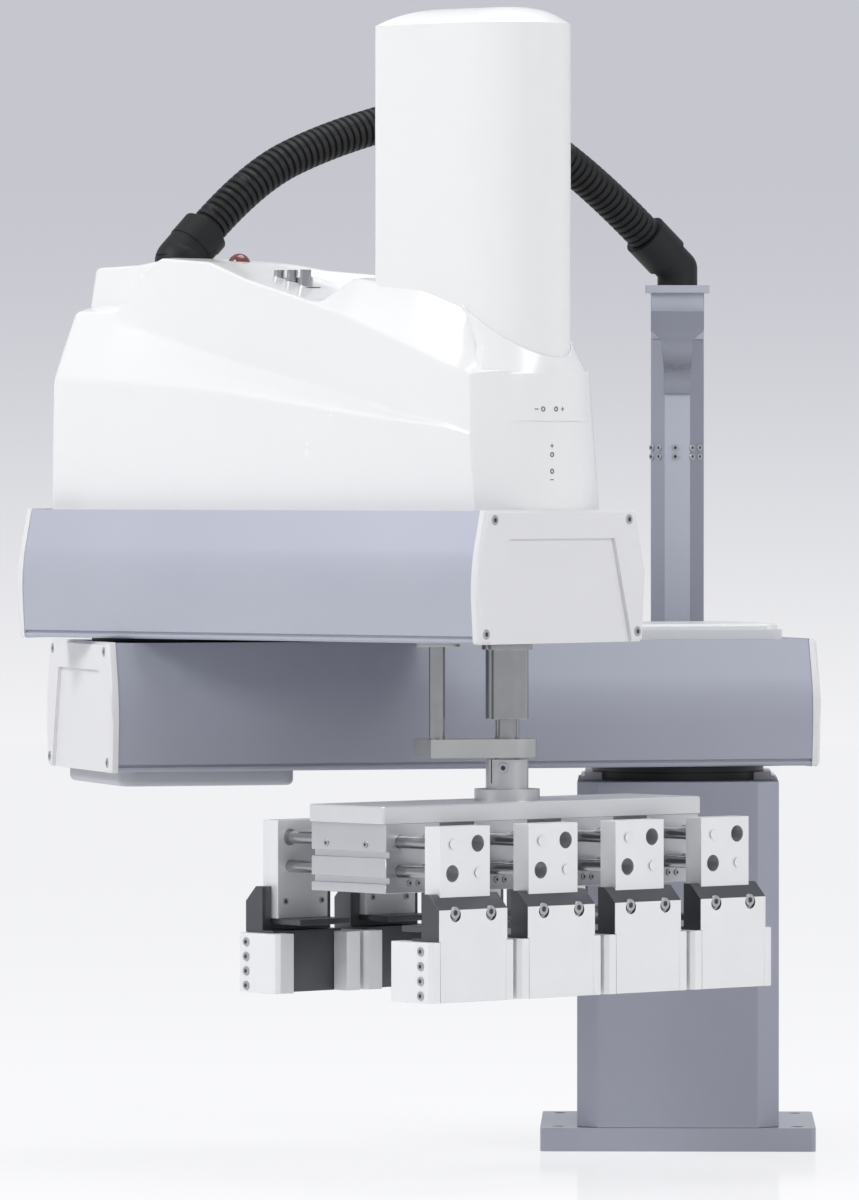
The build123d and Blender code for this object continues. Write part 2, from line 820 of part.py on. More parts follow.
# Its outline seen from the nose: side and height above the top of arm 2
collar_outline = ((66, 90), (73, 97), (82, 139), (78, 150), (70, 165), (66, 186), (65.5, 215))
with BuildPart() as front_collar:
    loft([nose_plan(collar_up), nose_plan(collar_middle_up), seam_plan.sketch], ruled=True)
    with BuildSketch(section(arm2, arm2_reach)) as front_view:
        with BuildLine():
            right = [(side, arm2_high + up) for side, up in collar_outline]
            Polyline(*right, *[(-side, z) for side, z in reversed(right)], close=True)
        make_face()
    extrude(front_view.sketch, amount=2 * cover_crown, both=True, mode=Mode.INTERSECT)
    add(cover_block.part, mode=Mode.SUBTRACT)
    extrude(tower_plan(collar_low - past, running_fit), amount=tower_tall, mode=Mode.SUBTRACT)
save(front_collar, "front_collar")

# Roof fittings
lamp_top = arm2_high + lamp_seat + lamp_thick
with BuildPart() as indicator_lamp:
    disc(arm2, lamp_top - lamp_thick, lamp_top, lamp_radius, lamp_along)
    with Locations(level(arm2, lamp_top, lamp_along)):
        Sphere(lamp_dome, arc_size1=0)
save(indicator_lamp, "indicator_lamp")

air_floor = arm2_high + air_seat
with BuildPart() as air_plate:
    slab(
        arm2, air_floor, air_floor + air_plate_thick, air_long - 2 * trim_fit, air_wide - 2 * trim_fit,
        air_middle, air_side, air_corner - trim_fit,
    )
save(air_plate, "air_plate")

air_low = air_floor + air_plate_thick
with BuildPart() as air_fittings:
    for step in (-1, 0, 1):
        along = air_middle + step * air_pitch
        disc(arm2, air_low, air_low + air_nut_tall, air_nut_radius, along, air_side)
        disc(arm2, air_low, air_low + air_tube_up, air_tube_radius, along, air_side)
save(air_fittings, "air_fittings")

# Drives inside arm 2 and its housing
with BuildPart() as j2_motor:
    motor_wide = 2 * motor_half
    slab(arm2, arm2_floor, arm2_floor + motor2_length, motor_wide, motor_wide, corner=motor_corner)
    disc(arm2, reducer2_low + reducer2_bore_floor + shaft_end_gap, arm2_floor, spigot_radius)
save(j2_motor, "j2_motor")

u_motor_along = arm2_reach - u_motor_back
z_motor_along = arm2_reach - z_motor_back
u_pulley_low = arm2_floor + spline_nut_length - belt_width - belt_down
z_pulley_low = u_pulley_low + ball_nut_length
with BuildPart() as u_motor:
    wide = 2 * u_motor_half
    slab(arm2, arm2_floor, arm2_floor + u_motor_length, wide, wide, u_motor_along, corner=motor_corner)
    disc(arm2, arm2_floor + u_motor_length, u_pulley_low + belt_width, motor_pulley_radius, u_motor_along)
save(u_motor, "u_motor")

with BuildPart() as z_motor:
    z_motor_top = arm2_floor + z_motor_length
    slab(arm2, arm2_floor, z_motor_top, motor_wide, motor_wide, z_motor_along, corner=motor_corner)
    disc(arm2, z_motor_top, z_pulley_low + belt_width, motor_pulley_radius, z_motor_along)
save(z_motor, "z_motor")

nut_bore = shaft_radius + running_fit
spline_nut_top = arm2_floor + spline_nut_length
with BuildPart() as spline_nut:
    disc(arm2, arm2_floor, spline_nut_top, nut_radius, arm2_reach)
    disc(arm2, u_pulley_low, u_pulley_low + belt_width, pulley_radius, arm2_reach)
    bore(arm2, arm2_floor, spline_nut_top, nut_bore, arm2_reach)
save(spline_nut, "spline_nut")

with BuildPart() as ball_nut:
    disc(arm2, spline_nut_top, spline_nut_top + ball_nut_length, nut_radius, arm2_reach)
    disc(arm2, z_pulley_low, z_pulley_low + belt_width, pulley_radius, arm2_reach)
    bore(arm2, spline_nut_top, spline_nut_top + ball_nut_length, nut_bore, arm2_reach)
save(ball_nut, "ball_nut")

with BuildPart() as drive_belts:
    for low, motor_along in ((u_pulley_low, u_motor_along), (z_pulley_low, z_motor_along)):
        for grow, mode in ((belt_thick, Mode.ADD), (screw_fit, Mode.SUBTRACT)):
            with BuildSketch(level(arm2, low)):
                with Locations((arm2_reach, 0)):
                    Circle(pulley_radius + grow)
                with Locations((motor_along, 0)):
                    Circle(motor_pulley_radius + grow)
                make_hull()
            extrude(amount=belt_width, mode=mode)
save(drive_belts, "drive_belts")

with BuildPart() as spline_sleeve:
    disc(arm2, arm2_low - sleeve_drop, arm2_floor, sleeve_radius, arm2_reach)
    disc(arm2, arm2_low - sleeve_flange_thick, arm2_low, sleeve_flange_radius, arm2_reach)
    bore(arm2, arm2_low - sleeve_drop, arm2_floor, nut_bore, arm2_reach)
save(spline_sleeve, "spline_sleeve")

with BuildPart() as guide_bush:
    disc(arm2, arm2_low - bush_flange, arm2_low, bush_radius, rod_along, rod_side)
    bush_top = arm2_floor + bush_tall
    disc(arm2, arm2_low, bush_top, bush_body_radius, rod_along, rod_side)
    bore(arm2, arm2_low - bush_flange, bush_top, rod_radius + running_fit, rod_along, rod_side)
save(guide_bush, "guide_bush")

# What slides with the shaft
with BuildPart() as torque_arm:
    with BuildSketch(level(link, link_low)) as arm_plan:
        with BuildLine():
            Polyline((0, link_half), (link_tail, link_half), (link_tail, -link_half), (0, -link_half))
            ThreePointArc((0, -link_half), (-link_half, 0), (0, link_half))
        make_face()
        Circle(nut_bore, mode=Mode.SUBTRACT)
    extrude(amount=link_thick)
save(torque_arm, "torque_arm")

with BuildPart() as guide_rod:
    disc(link, link_low + link_thick, link_low + link_thick + rod_length, rod_radius, rod_distance)
    chamfer(faces().sort_by(Axis.Z)[-1].edges(), 1)
save(guide_rod, "guide_rod")

# What turns with the shaft
with BuildPart() as spline_shaft:
    disc(tool, plate_top, plate_top + shaft_length, shaft_radius)
    with BuildSketch(level(tool, plate_top)):
        with PolarLocations(shaft_radius, 3):
            Circle(spline_groove)
    extrude(amount=shaft_length, mode=Mode.SUBTRACT)
    bore(tool, plate_top - past, plate_top + shaft_length + past, shaft_bore)
save(spline_shaft, "spline_shaft")

with BuildPart() as tool_clamp:
    disc(tool, plate_top, flange_top, flange_radius)
    disc(tool, flange_top, hub_top, hub_radius)
    bore(tool, plate_top - past, hub_top + past, shaft_radius + screw_fit)
    slab(
        tool, flange_top + slit_up, hub_top + past, hub_slit, 2 * hub_radius, side=-hub_radius,
        mode=Mode.SUBTRACT,
    )
save(tool_clamp, "tool_clamp")

with BuildPart() as tool_plate:
    slab(tool, plate_low, plate_top, tool_plate_wide, tool_plate_long, corner=tool_plate_corner)
    chamfer(faces().sort_by(Axis.Z)[-1].edges(), tool_plate_edge)
save(tool_plate, "tool_plate")


def jaw_section(along, side):
    return Plane(tool.location * Location((0, side, 0)) * Plane.YZ.offset(along).location)


def rod_places(hand):
    return ((-hand * jaw_rod_spread, -jaw_rod_high), (hand * jaw_rod_spread, -jaw_rod_low))


row = [(index - (gripper_count - 1) / 2) * gripper_pitch for index in range(gripper_count)]
with BuildPart() as gripper_bodies:
    for side in row:
        with BuildSketch(jaw_section(-tool_plate_wide / 2, side)):
            with Locations((0, plate_low - body_tall / 2)):
                Rectangle(body_wide, body_tall)
            for hand in (-1, 1):
                for drop in slot_drops:
                    with Locations((hand * body_wide / 2, plate_low - drop)):
                        Rectangle(2 * slot_deep, slot_tall, mode=Mode.SUBTRACT)
                for across, down in rod_places(hand):
                    with Locations((across, plate_low + down)):
                        Circle(jaw_rod_radius + running_fit, mode=Mode.SUBTRACT)
        extrude(amount=tool_plate_wide)
save(gripper_bodies, "gripper_bodies")

jaw_top = plate_low - jaw_drop
jaw_foot = jaw_top - jaw_plate_tall
jaw_plate_outer = jaw_plate_inner + jaw_plate_thick
stop_low = jaw_foot - stop_thick
fingers_low = plate_low - finger_low


def jaw_plate(side, hand):
    with BuildSketch(jaw_section(hand * jaw_plate_inner, side)) as plate:
        with Locations((0, jaw_top - jaw_plate_tall / 2)):
            Rectangle(jaw_plate_wide, jaw_plate_tall)
        for across, down in rod_places(-hand):
            with Locations((across, plate_low + down)):
                Circle(clearance_radius, mode=Mode.SUBTRACT)
        for across, down in rod_places(hand):
            with Locations((across, plate_low + down)):
                Circle(jaw_rod_radius + screw_fit, mode=Mode.SUBTRACT)
    extrude(plate.sketch, amount=hand * jaw_plate_thick)
    for across, down in rod_places(hand):
        with BuildSketch(jaw_section(hand * jaw_plate_outer, side)) as rod:
            with Locations((across, plate_low + down)):
                Circle(jaw_rod_radius)
        extrude(rod.sketch, amount=-hand * (jaw_plate_outer + jaw_rod_reach))
        with BuildSketch(jaw_section(hand * jaw_plate_outer, side)) as stud:
            with Locations((across, plate_low + down)):
                Circle(rod_end_radius)
        extrude(stud.sketch, amount=hand * rod_end_proud)


def finger_block(side, hand):
    foot = fingers_low
    top = foot + finger_tall
    with BuildSketch(side_view(tool, side)) as outline:
        with BuildLine():
            Polyline(
                (hand * finger_toe, foot),
                (hand * finger_front, foot),
                (hand * finger_front, top - finger_bevel),
                (hand * (finger_front - finger_bevel), top),
                (hand * finger_inner, top),
                (hand * finger_inner, foot + finger_toe_tall),
                (hand * finger_toe, foot + finger_toe_tall),
                close=True,
            )
        make_face()
    extrude(outline.sketch, amount=finger_wide / 2, both=True)
    pocket_long = jaw_plate_outer - finger_toe
    slab(
        tool, stop_low, top + past, pocket_long, jaw_plate_wide + 2 * finger_fit,
        hand * (finger_toe + pocket_long / 2), side, mode=Mode.SUBTRACT,
    )
    for edge in (-1, 1):
        slab(
            tool, foot - past, foot + guide_tall + running_fit, finger_front - guide_end, 2 * guide_step,
            hand * (finger_front + guide_end) / 2, side + edge * finger_wide / 2, mode=Mode.SUBTRACT,
        )
    with BuildSketch(jaw_section(hand * (finger_front + past), side)) as sinks:
        for across in (-finger_screw_spread, finger_screw_spread):
            with Locations((across, top - finger_screw_down)):
                Circle(counterbore_radius)
    extrude(sinks.sketch, amount=-hand * (counterbore_deep + past), mode=Mode.SUBTRACT)


def guide_plate(side, hand, edge):
    cheek = finger_wide / 2 - guide_step + screw_fit
    outer = cheek + guide_thick
    inner = cheek - guide_grip
    with BuildSketch(level(tool, fingers_low, 0, side)) as guide_outline:
        with BuildLine():
            Polyline(
                (hand * guide_end, edge * inner),
                (hand * (finger_toe - running_fit), edge * inner),
                (hand * (finger_toe - running_fit), edge * cheek),
                (hand * finger_front, edge * cheek),
                (hand * finger_front, edge * (outer - guide_bevel)),
                (hand * (finger_front - guide_bevel), edge * outer),
                (hand * (guide_end + guide_bevel), edge * outer),
                (hand * guide_end, edge * (outer - guide_bevel)),
                close=True,
            )
        make_face()
    extrude(guide_outline.sketch, amount=guide_tall)


for number, side in enumerate(row, start=1):
    for name, hand in (("front", 1), ("rear", -1)):
        with BuildPart() as jaw:
            jaw_plate(side, hand)
        save(jaw, f"{name}_jaw_{number}")
        with BuildPart() as finger:
            finger_block(side, hand)
            for edge in (-1, 1):
                guide_plate(side, hand, edge)
            stop_long = jaw_plate_outer - screw_fit - stop_end
            stop_middle = hand * (stop_end + stop_long / 2)
            slab(tool, stop_low + screw_fit, jaw_foot, stop_long, jaw_plate_wide, stop_middle, side)
        save(finger, f"{name}_finger_{number}")
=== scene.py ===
from math import cos, pi, radians, sin

import bmesh
import bpy
from mathutils import Matrix, Vector
from mathutils.bvhtree import BVHTree


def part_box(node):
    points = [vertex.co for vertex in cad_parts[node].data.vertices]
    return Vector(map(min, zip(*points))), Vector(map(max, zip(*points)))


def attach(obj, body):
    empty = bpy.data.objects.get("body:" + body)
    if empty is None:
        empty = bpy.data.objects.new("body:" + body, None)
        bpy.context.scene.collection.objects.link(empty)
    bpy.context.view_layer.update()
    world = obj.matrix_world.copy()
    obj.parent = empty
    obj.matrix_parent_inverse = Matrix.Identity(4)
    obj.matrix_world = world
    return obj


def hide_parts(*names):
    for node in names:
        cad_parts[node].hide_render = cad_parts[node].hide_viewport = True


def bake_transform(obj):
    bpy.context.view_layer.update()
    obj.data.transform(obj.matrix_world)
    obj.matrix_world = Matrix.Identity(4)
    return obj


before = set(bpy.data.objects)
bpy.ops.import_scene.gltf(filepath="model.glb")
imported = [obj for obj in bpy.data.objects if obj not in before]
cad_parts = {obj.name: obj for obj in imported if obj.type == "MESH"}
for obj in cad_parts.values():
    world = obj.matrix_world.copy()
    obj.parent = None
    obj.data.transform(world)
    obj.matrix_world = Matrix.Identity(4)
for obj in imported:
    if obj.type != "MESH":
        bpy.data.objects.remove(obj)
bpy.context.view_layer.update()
mm = 0.001
scene = bpy.context.scene
print("frame loaded")

# Places of the robot's own axes, worked out from its reach and pose
robot = {
    "arm1Reach": 0.550,
    "arm2Reach": 0.450,
    "arm1Turn": radians(198),
    "arm2Turn": radians(-39),
    "toolTurn": radians(-46),
}
elbowAxis = Vector((cos(robot["arm1Turn"]), sin(robot["arm1Turn"]), 0)) * robot["arm1Reach"]
shaftAxis = elbowAxis + Vector((cos(robot["arm2Turn"]), sin(robot["arm2Turn"]), 0)) * robot["arm2Reach"]
arm1Place = Matrix.Rotation(robot["arm1Turn"], 4, "Z")
arm2Place = Matrix.Translation(elbowAxis) @ Matrix.Rotation(robot["arm2Turn"], 4, "Z")
toolPlace = Matrix.Translation(shaftAxis) @ Matrix.Rotation(robot["toolTurn"], 4, "Z")
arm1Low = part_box("arm1_beam")[0].z
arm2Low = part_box("arm2_beam")[0].z
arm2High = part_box("arm2_beam")[1].z
plateLow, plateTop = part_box("tool_plate")[0].z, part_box("tool_plate")[1].z

# Camera at the photograph's place: far off with a long lens
camera = {
    "place": (-0.0304, -9.7677, 0.7157),
    "tilt": radians(90 - 0.83),
    "turn": radians(1.36),
    "lens": 277.44,  # mm, on a 36 mm frame height
}
view = bpy.data.cameras.new("camera")
view.lens = camera["lens"]
view.sensor_width = 36
view.clip_end = 60
viewer = bpy.data.objects.new("camera", view)
viewer.location = camera["place"]
viewer.rotation_euler = (camera["tilt"], 0, camera["turn"])
scene.collection.objects.link(viewer)
scene.camera = viewer
scene.view_settings.view_transform = "Standard"


# Node helpers
def linear(hexColour):
    parts = [int(hexColour[i:i + 2], 16) / 255 for i in (1, 3, 5)]
    return [c / 12.92 if c <= 0.04045 else ((c + 0.055) / 1.055) ** 2.4 for c in parts]


def addNode(tree, kind, values=None, links=None, **settings):
    made = tree.nodes.new(kind)
    for name, value in settings.items():
        setattr(made, name, value)
    for socket, value in (values or {}).items():
        made.inputs[socket].default_value = value
    for socket, source in (links or {}).items():
        tree.links.new(source, made.inputs[socket])
    return made


def startMaterial(name, hexColour, metallic, roughness, coat=0.0):
    made = bpy.data.materials.new(name)
    made.use_nodes = True
    shader = made.node_tree.nodes["Principled BSDF"]
    shader.inputs["Base Color"].default_value = (*linear(hexColour), 1)
    shader.inputs["Metallic"].default_value = metallic
    shader.inputs["Roughness"].default_value = roughness
    shader.inputs["Coat Weight"].default_value = coat
    return made, made.node_tree, shader


# Bump from noise; size is the grain's width in metres, depth its height
def grain(tree, shader, size, depth, stretch=(1, 1, 1), detail=3):
    where = addNode(tree, "ShaderNodeTexCoord")
    turned = addNode(tree, "ShaderNodeMapping", {"Scale": stretch}, {"Vector": where.outputs["Object"]})
    noise = addNode(
        tree, "ShaderNodeTexNoise", {"Scale": 1 / size, "Detail": detail, "Roughness": 0.55},
        {"Vector": turned.outputs["Vector"]},
    )
    bump = addNode(
        tree, "ShaderNodeBump", {"Strength": 0.35, "Distance": depth}, {"Height": noise.outputs["Fac"]},
    )
    tree.links.new(bump.outputs["Normal"], shader.inputs["Normal"])
    return turned


# Slow change of colour and gloss over the surface
def cloud(tree, shader, hexLow, hexHigh, size, roughLow, roughHigh):
    where = addNode(tree, "ShaderNodeTexCoord")
    noise = addNode(
        tree, "ShaderNodeTexNoise", {"Scale": 1 / size, "Detail": 4, "Roughness": 0.6},
        {"Vector": where.outputs["Object"]},
    )
    tones = addNode(tree, "ShaderNodeMix", {}, {"Factor": noise.outputs["Fac"]}, data_type="RGBA")
    tones.inputs[6].default_value = (*linear(hexLow), 1)
    tones.inputs[7].default_value = (*linear(hexHigh), 1)
    tree.links.new(tones.outputs[2], shader.inputs["Base Color"])
    gloss = addNode(
        tree, "ShaderNodeMapRange", {"To Min": roughLow, "To Max": roughHigh},
        {"Value": noise.outputs["Fac"]},
    )
    tree.links.new(gloss.outputs["Result"], shader.inputs["Roughness"])


# Powder coat: matt, with a fine orange peel that is drawn 2.2 mm wide so that it shows
def powderCoat(name, low, high):
    made, tree, shader = startMaterial(name, low, 0.0, 0.55)
    cloud(tree, shader, low, high, 0.09, 0.5, 0.62)
    grain(tree, shader, 0.0022, 0.0004)
    return made


# Satin anodised extrusion: a soft metal sheen with faint die lines along the beam
def anodised(name, low, high, turn):
    made, tree, shader = startMaterial(name, low, 0.2, 0.44)
    cloud(tree, shader, low, high, 0.16, 0.4, 0.48)
    turned = grain(tree, shader, 0.0016, 0.0002, (0.04, 1, 1))
    turned.inputs["Rotation"].default_value = (0, 0, -turn)
    return made


# Machined aluminium: bright, with cutter marks drawn 1.5 mm apart
def machined(name, low, high, turn=0.0, metallic=0.8):
    made, tree, shader = startMaterial(name, low, metallic, 0.34)
    cloud(tree, shader, low, high, 0.05, 0.28, 0.4)
    turned = grain(tree, shader, 0.0015, 0.00015, (0.15, 1, 1))
    turned.inputs["Rotation"].default_value = (0, 0, -turn)
    return made


# Moulded or painted shell: an even colour with a clear gloss over it
def moulded(name, low, high, rough, coat, size=0.2):
    made, tree, shader = startMaterial(name, low, 0.0, rough, coat)
    shader.inputs["Coat Roughness"].default_value = 0.12
    cloud(tree, shader, low, high, size, rough - 0.04, rough + 0.04)
    grain(tree, shader, 0.004, 0.00008)
    return made


# Ground and polished steel: mirror-like, with fine rings round its length
def ground(name, low, high, rough):
    made, tree, shader = startMaterial(name, low, 1.0, rough)
    cloud(tree, shader, low, high, 0.03, rough - 0.04, rough + 0.06)
    grain(tree, shader, 0.0012, 0.00008, (1, 1, 6))
    return made


basePaint = powderCoat("powderCoatedSteel", "#9a9daa", "#a2a5b1")
# Darker post coats are painted shade: mid for the post's left facets, dark for its right facets and its
# tongue
postMidShadePaint = powderCoat("powderCoatedPostMidShade", "#999caa", "#a1a4b1")
postDarkShadePaint = powderCoat("powderCoatedPostDarkShade", "#858895", "#8d909c")
platePaint = moulded("glossyPlatePaint", "#9a9daa", "#a2a5b1", 0.4, 0.6)
postPaint = powderCoat("powderCoatedPost", "#b0b3c0", "#b8bbc7")
# Arm 1 gets a darker copy of arm 2's anodised colour: painted shade
arm1MetalShaded = anodised("anodisedArm1PaintedShade", "#9fa2ae", "#a7aab6", robot["arm1Turn"])
arm2Metal = anodised("anodisedArm2", "#afb2bf", "#b7bac6", robot["arm2Turn"])
capPaint = moulded("castCapPaint", "#e0e0e2", "#e6e6e8", 0.38, 0.2)
shellWhite = moulded("mouldedShellWhite", "#ebecec", "#f0f0f1", 0.26, 0.5)
coverPaint = moulded("coverPaint", "#b4b6be", "#bcbec6", 0.42, 0.1)
topCoverPaint = moulded("topCoverPaint", "#e2e3e6", "#e8e9ec", 0.4, 0.2)
deckPaint = moulded("deckPaint", "#eeeef0", "#f4f4f5", 0.36, 0.3)
blackAnodised = moulded("blackAnodised", "#161718", "#1c1d1f", 0.42, 0.0)
conduitNylon = moulded("conduitNylon", "#151617", "#1b1c1d", 0.56, 0.0, 0.03)
conduitNylon.node_tree.nodes["Principled BSDF"].inputs["Specular IOR Level"].default_value = 0.3
jawMetal = machined("machinedAluminium", "#eaebed", "#f3f3f4", robot["toolTurn"], 0.4)
bodyMetal = machined("extrudedGripperBody", "#c3c5c8", "#cfd0d3", robot["toolTurn"])
plateMetal = machined("milledPlate", "#dadcde", "#e5e6e7", robot["toolTurn"], 0.6)
# Darker metal for the jaw plates' holes: painted shade in the bores
holeShadeMetal = machined("drilledHolePaintedShade", "#a4a5a8", "#b0b1b4", robot["toolTurn"], 0.1)
linkMetal = machined("satinLink", "#a8a9a9", "#b8b9b8", robot["arm1Turn"])
clampMetal = machined("turnedClamp", "#b4b5b7", "#c6c7c8", robot["toolTurn"])
shaftSteel = ground("groundShaftSteel", "#929496", "#a6a7a8", 0.2)
chromeFinish = ground("polishedChrome", "#9b9da0", "#b0b2b4", 0.14)
screwSteel = ground("stainlessScrew", "#a9abae", "#c0c2c4", 0.3)
# Near-black for the screws' hex sockets: painted shade in place of the recess
socketShade = moulded("paintedSocketShade", "#2b2c2e", "#363739", 0.4, 0.0, 0.01)
fingerDark = machined("darkAnodisedFinger", "#55565a", "#66676b", robot["toolTurn"])
# White for the finger's guide plates, and on its front faces as a painted reflection
fingerWhiteAndPaintedGlint = moulded("whiteGuidesAndPaintedReflection", "#e9eaec", "#f1f1f2", 0.36, 0.15, 0.04)
slotDark = moulded("shadowedSlot", "#17181a", "#202124", 0.7, 0.0, 0.02)
lensRed = moulded("redLampLens", "#5c2a28", "#7b3a35", 0.12, 0.6, 0.01)
markGrey = moulded("printedMarkGrey", "#3f4046", "#494a50", 0.5, 0.0, 0.01)
rubberBlack = moulded("rubberBlack", "#151617", "#1d1e1f", 0.6, 0.0, 0.01)
print("materials made")


# Mesh helpers
def finishPiece(name, form, materials, body, replaced=(), sharp=32, weighted=True):
    bmesh.ops.recalc_face_normals(form, faces=form.faces)
    mesh = bpy.data.meshes.new(name)
    form.to_mesh(mesh)
    form.free()
    for polygon in mesh.polygons:
        polygon.use_smooth = True
    mesh.set_sharp_from_angle(angle=radians(sharp))
    for material in materials:
        mesh.materials.append(material)
    piece = bpy.data.objects.new(name, mesh)
    scene.collection.objects.link(piece)
    if weighted:
        evened = piece.modifiers.new("evenNormals", "WEIGHTED_NORMAL")
        evened.keep_sharp = True
    if body:
        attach(piece, body)
    if replaced:
        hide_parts(*replaced)
    return piece


def mergedCopy(nodeName):
    form = bmesh.new()
    form.from_mesh(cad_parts[nodeName].data)
    bmesh.ops.remove_doubles(form, verts=form.verts, dist=0.00003)
    bmesh.ops.dissolve_limit(
        form, angle_limit=radians(0.6), verts=form.verts, edges=form.edges, use_dissolve_boundaries=False,
    )
    return form


def bevelSharp(form, width, shortest, segments=2, least=28):
    sharp = [
        e for e in form.edges
        if len(e.link_faces) == 2 and e.calc_length() > shortest and e.calc_face_angle(0) > radians(least)
    ]
    if sharp:
        bmesh.ops.bevel(
            form, geom=sharp, offset=width, offset_type="OFFSET", affect="EDGES", segments=segments,
            profile=0.5, clamp_overlap=True, material=-1,
        )


# The form's separate solids, as lists of faces
def islands(form):
    left = set(form.faces)
    found = []
    while left:
        seed = left.pop()
        group = [seed]
        queue = [seed]
        while queue:
            face = queue.pop()
            for edge in face.edges:
                for other in edge.link_faces:
                    if other in left:
                        left.discard(other)
                        group.append(other)
                        queue.append(other)
        found.append(group)
    return found


# Lowest and highest corner of some faces, in a place's own axes
def spanOf(faces, place):
    back = place.inverted()
    points = [back @ v.co for f in faces for v in f.verts]
    low = Vector([min(p[i] for p in points) for i in range(3)])
    high = Vector([max(p[i] for p in points) for i in range(3)])
    return low, high


# Rounds the long crease half way up an arm's sides, which is a wide bend on the real extrusion
def roundCrease(form, place, width):
    back = place.inverted()
    half = max(abs((back @ v.co).y) for v in form.verts)
    long = []
    for edge in form.edges:
        start, end = (back @ v.co for v in edge.verts)
        level = abs(start.z - end.z) < 0.5 * mm and abs(start.y - end.y) < 0.5 * mm
        if level and min(abs(start.y), abs(end.y)) > half - 1.5 * mm:
            long.append(edge)
    bmesh.ops.bevel(
        form, geom=long, offset=width, offset_type="OFFSET", affect="EDGES", segments=8, profile=0.5,
        clamp_overlap=True, material=-1,
    )


def dress(nodeName, material, body, width=0.8, shortest=2.5, segments=2, sharp=32, crease=None):
    form = mergedCopy(nodeName)
    if crease:
        roundCrease(form, *crease)
    bevelSharp(form, width * mm, shortest * mm, segments)
    return finishPiece("dressed_" + nodeName, form, [material], body, (nodeName,), sharp)


# A closed round bar standing on its place's XY plane
def addDisc(form, place, radius, depth, segments=32, material=0):
    made = bmesh.ops.create_cone(
        form, cap_ends=True, cap_tris=False, segments=segments, radius1=radius, radius2=radius, depth=depth,
        matrix=place @ Matrix.Translation((0, 0, depth / 2)),
    )
    faces = {f for v in made["verts"] for f in v.link_faces}
    for face in faces:
        face.material_index = material
    return made["verts"]


def addBlock(form, place, low, high, material=0):
    middle = [(a + b) / 2 for a, b in zip(low, high)]
    size = [b - a for a, b in zip(low, high)]
    made = bmesh.ops.create_cube(
        form, size=1, matrix=place @ Matrix.Translation(middle) @ Matrix.Diagonal((*size, 1)),
    )
    for face in {f for v in made["verts"] for f in v.link_faces}:
        face.material_index = material
    return made["verts"]


# One socket-head cap screw with its head on the place's XY plane; its socket is a flat near-black hexagon,
# painted shade in place of the recess
def addScrew(form, place, head, tall, material=0, dark=1):
    verts = addDisc(form, place, head, tall, 28, material)
    top = max(
        {f for v in verts for f in v.link_faces},
        key=lambda f: (place.inverted() @ f.calc_center_median()).z,
    )
    bmesh.ops.bevel(
        form, geom=list(top.edges), offset=head * 0.14, offset_type="OFFSET", affect="EDGES", segments=2,
        profile=0.5, clamp_overlap=True, material=-1,
    )
    # The socket: a dark hexagon flush with the head, painted shade
    socket = bmesh.ops.create_cone(
        form, cap_ends=True, cap_tris=False, segments=6, radius1=head * 0.5, radius2=head * 0.5,
        depth=tall * 0.3, matrix=place @ Matrix.Translation((0, 0, tall * 0.86)),
    )
    for face in {f for v in socket["verts"] for f in v.link_faces}:
        face.material_index = dark


# A place at a point whose Z runs along way, both given in the outer place's axes
def lookAlong(place, point, way):
    turn = Vector(way).to_track_quat("Z", "Y").to_matrix().to_4x4()
    return place @ Matrix.Translation(point) @ turn


# Conduit: corrugated nylon tube from the housing's elbow to the post's
hose = {
    "radius": 19.5 * mm,
    "valley": 17.0 * mm,
    "pitch": 8.2 * mm,
    "rib": ((0.0, 17.0 * mm), (0.16, 19.5 * mm), (0.66, 19.5 * mm), (0.82, 17.0 * mm)),
    "around": 40,
}
hoseRoute = [
    (-0.4923, -0.1480, 0.9602),
    (-0.4458, -0.1149, 1.0162),
    (-0.3684, -0.0597, 1.0580),
    (-0.2625, 0.0158, 1.0920),
    (-0.1608, 0.0884, 1.0720),
    (-0.0836, 0.1434, 1.0141),
    (-0.0349, 0.1781, 0.9640),
]


def readRoute(points):
    line = bpy.data.curves.new("hoseRoute", "CURVE")
    line.dimensions = "3D"
    line.resolution_u = 24
    spline = line.splines.new("NURBS")
    spline.points.add(len(points) - 1)
    for point, place in zip(spline.points, points):
        point.co = (*place, 1)
    spline.order_u = 3
    spline.use_endpoint_u = True
    holder = bpy.data.objects.new("hoseRoute", line)
    scene.collection.objects.link(holder)
    bpy.context.view_layer.update()
    mesh = bpy.data.meshes.new_from_object(holder)
    path = [v.co.copy() for v in mesh.vertices]
    bpy.data.objects.remove(holder)
    bpy.data.meshes.remove(mesh)
    return path


# Lengths from the start to each point of a path
def walk(path):
    far = [0.0]
    for before, after in zip(path, path[1:]):
        far.append(far[-1] + (after - before).length)
    return far


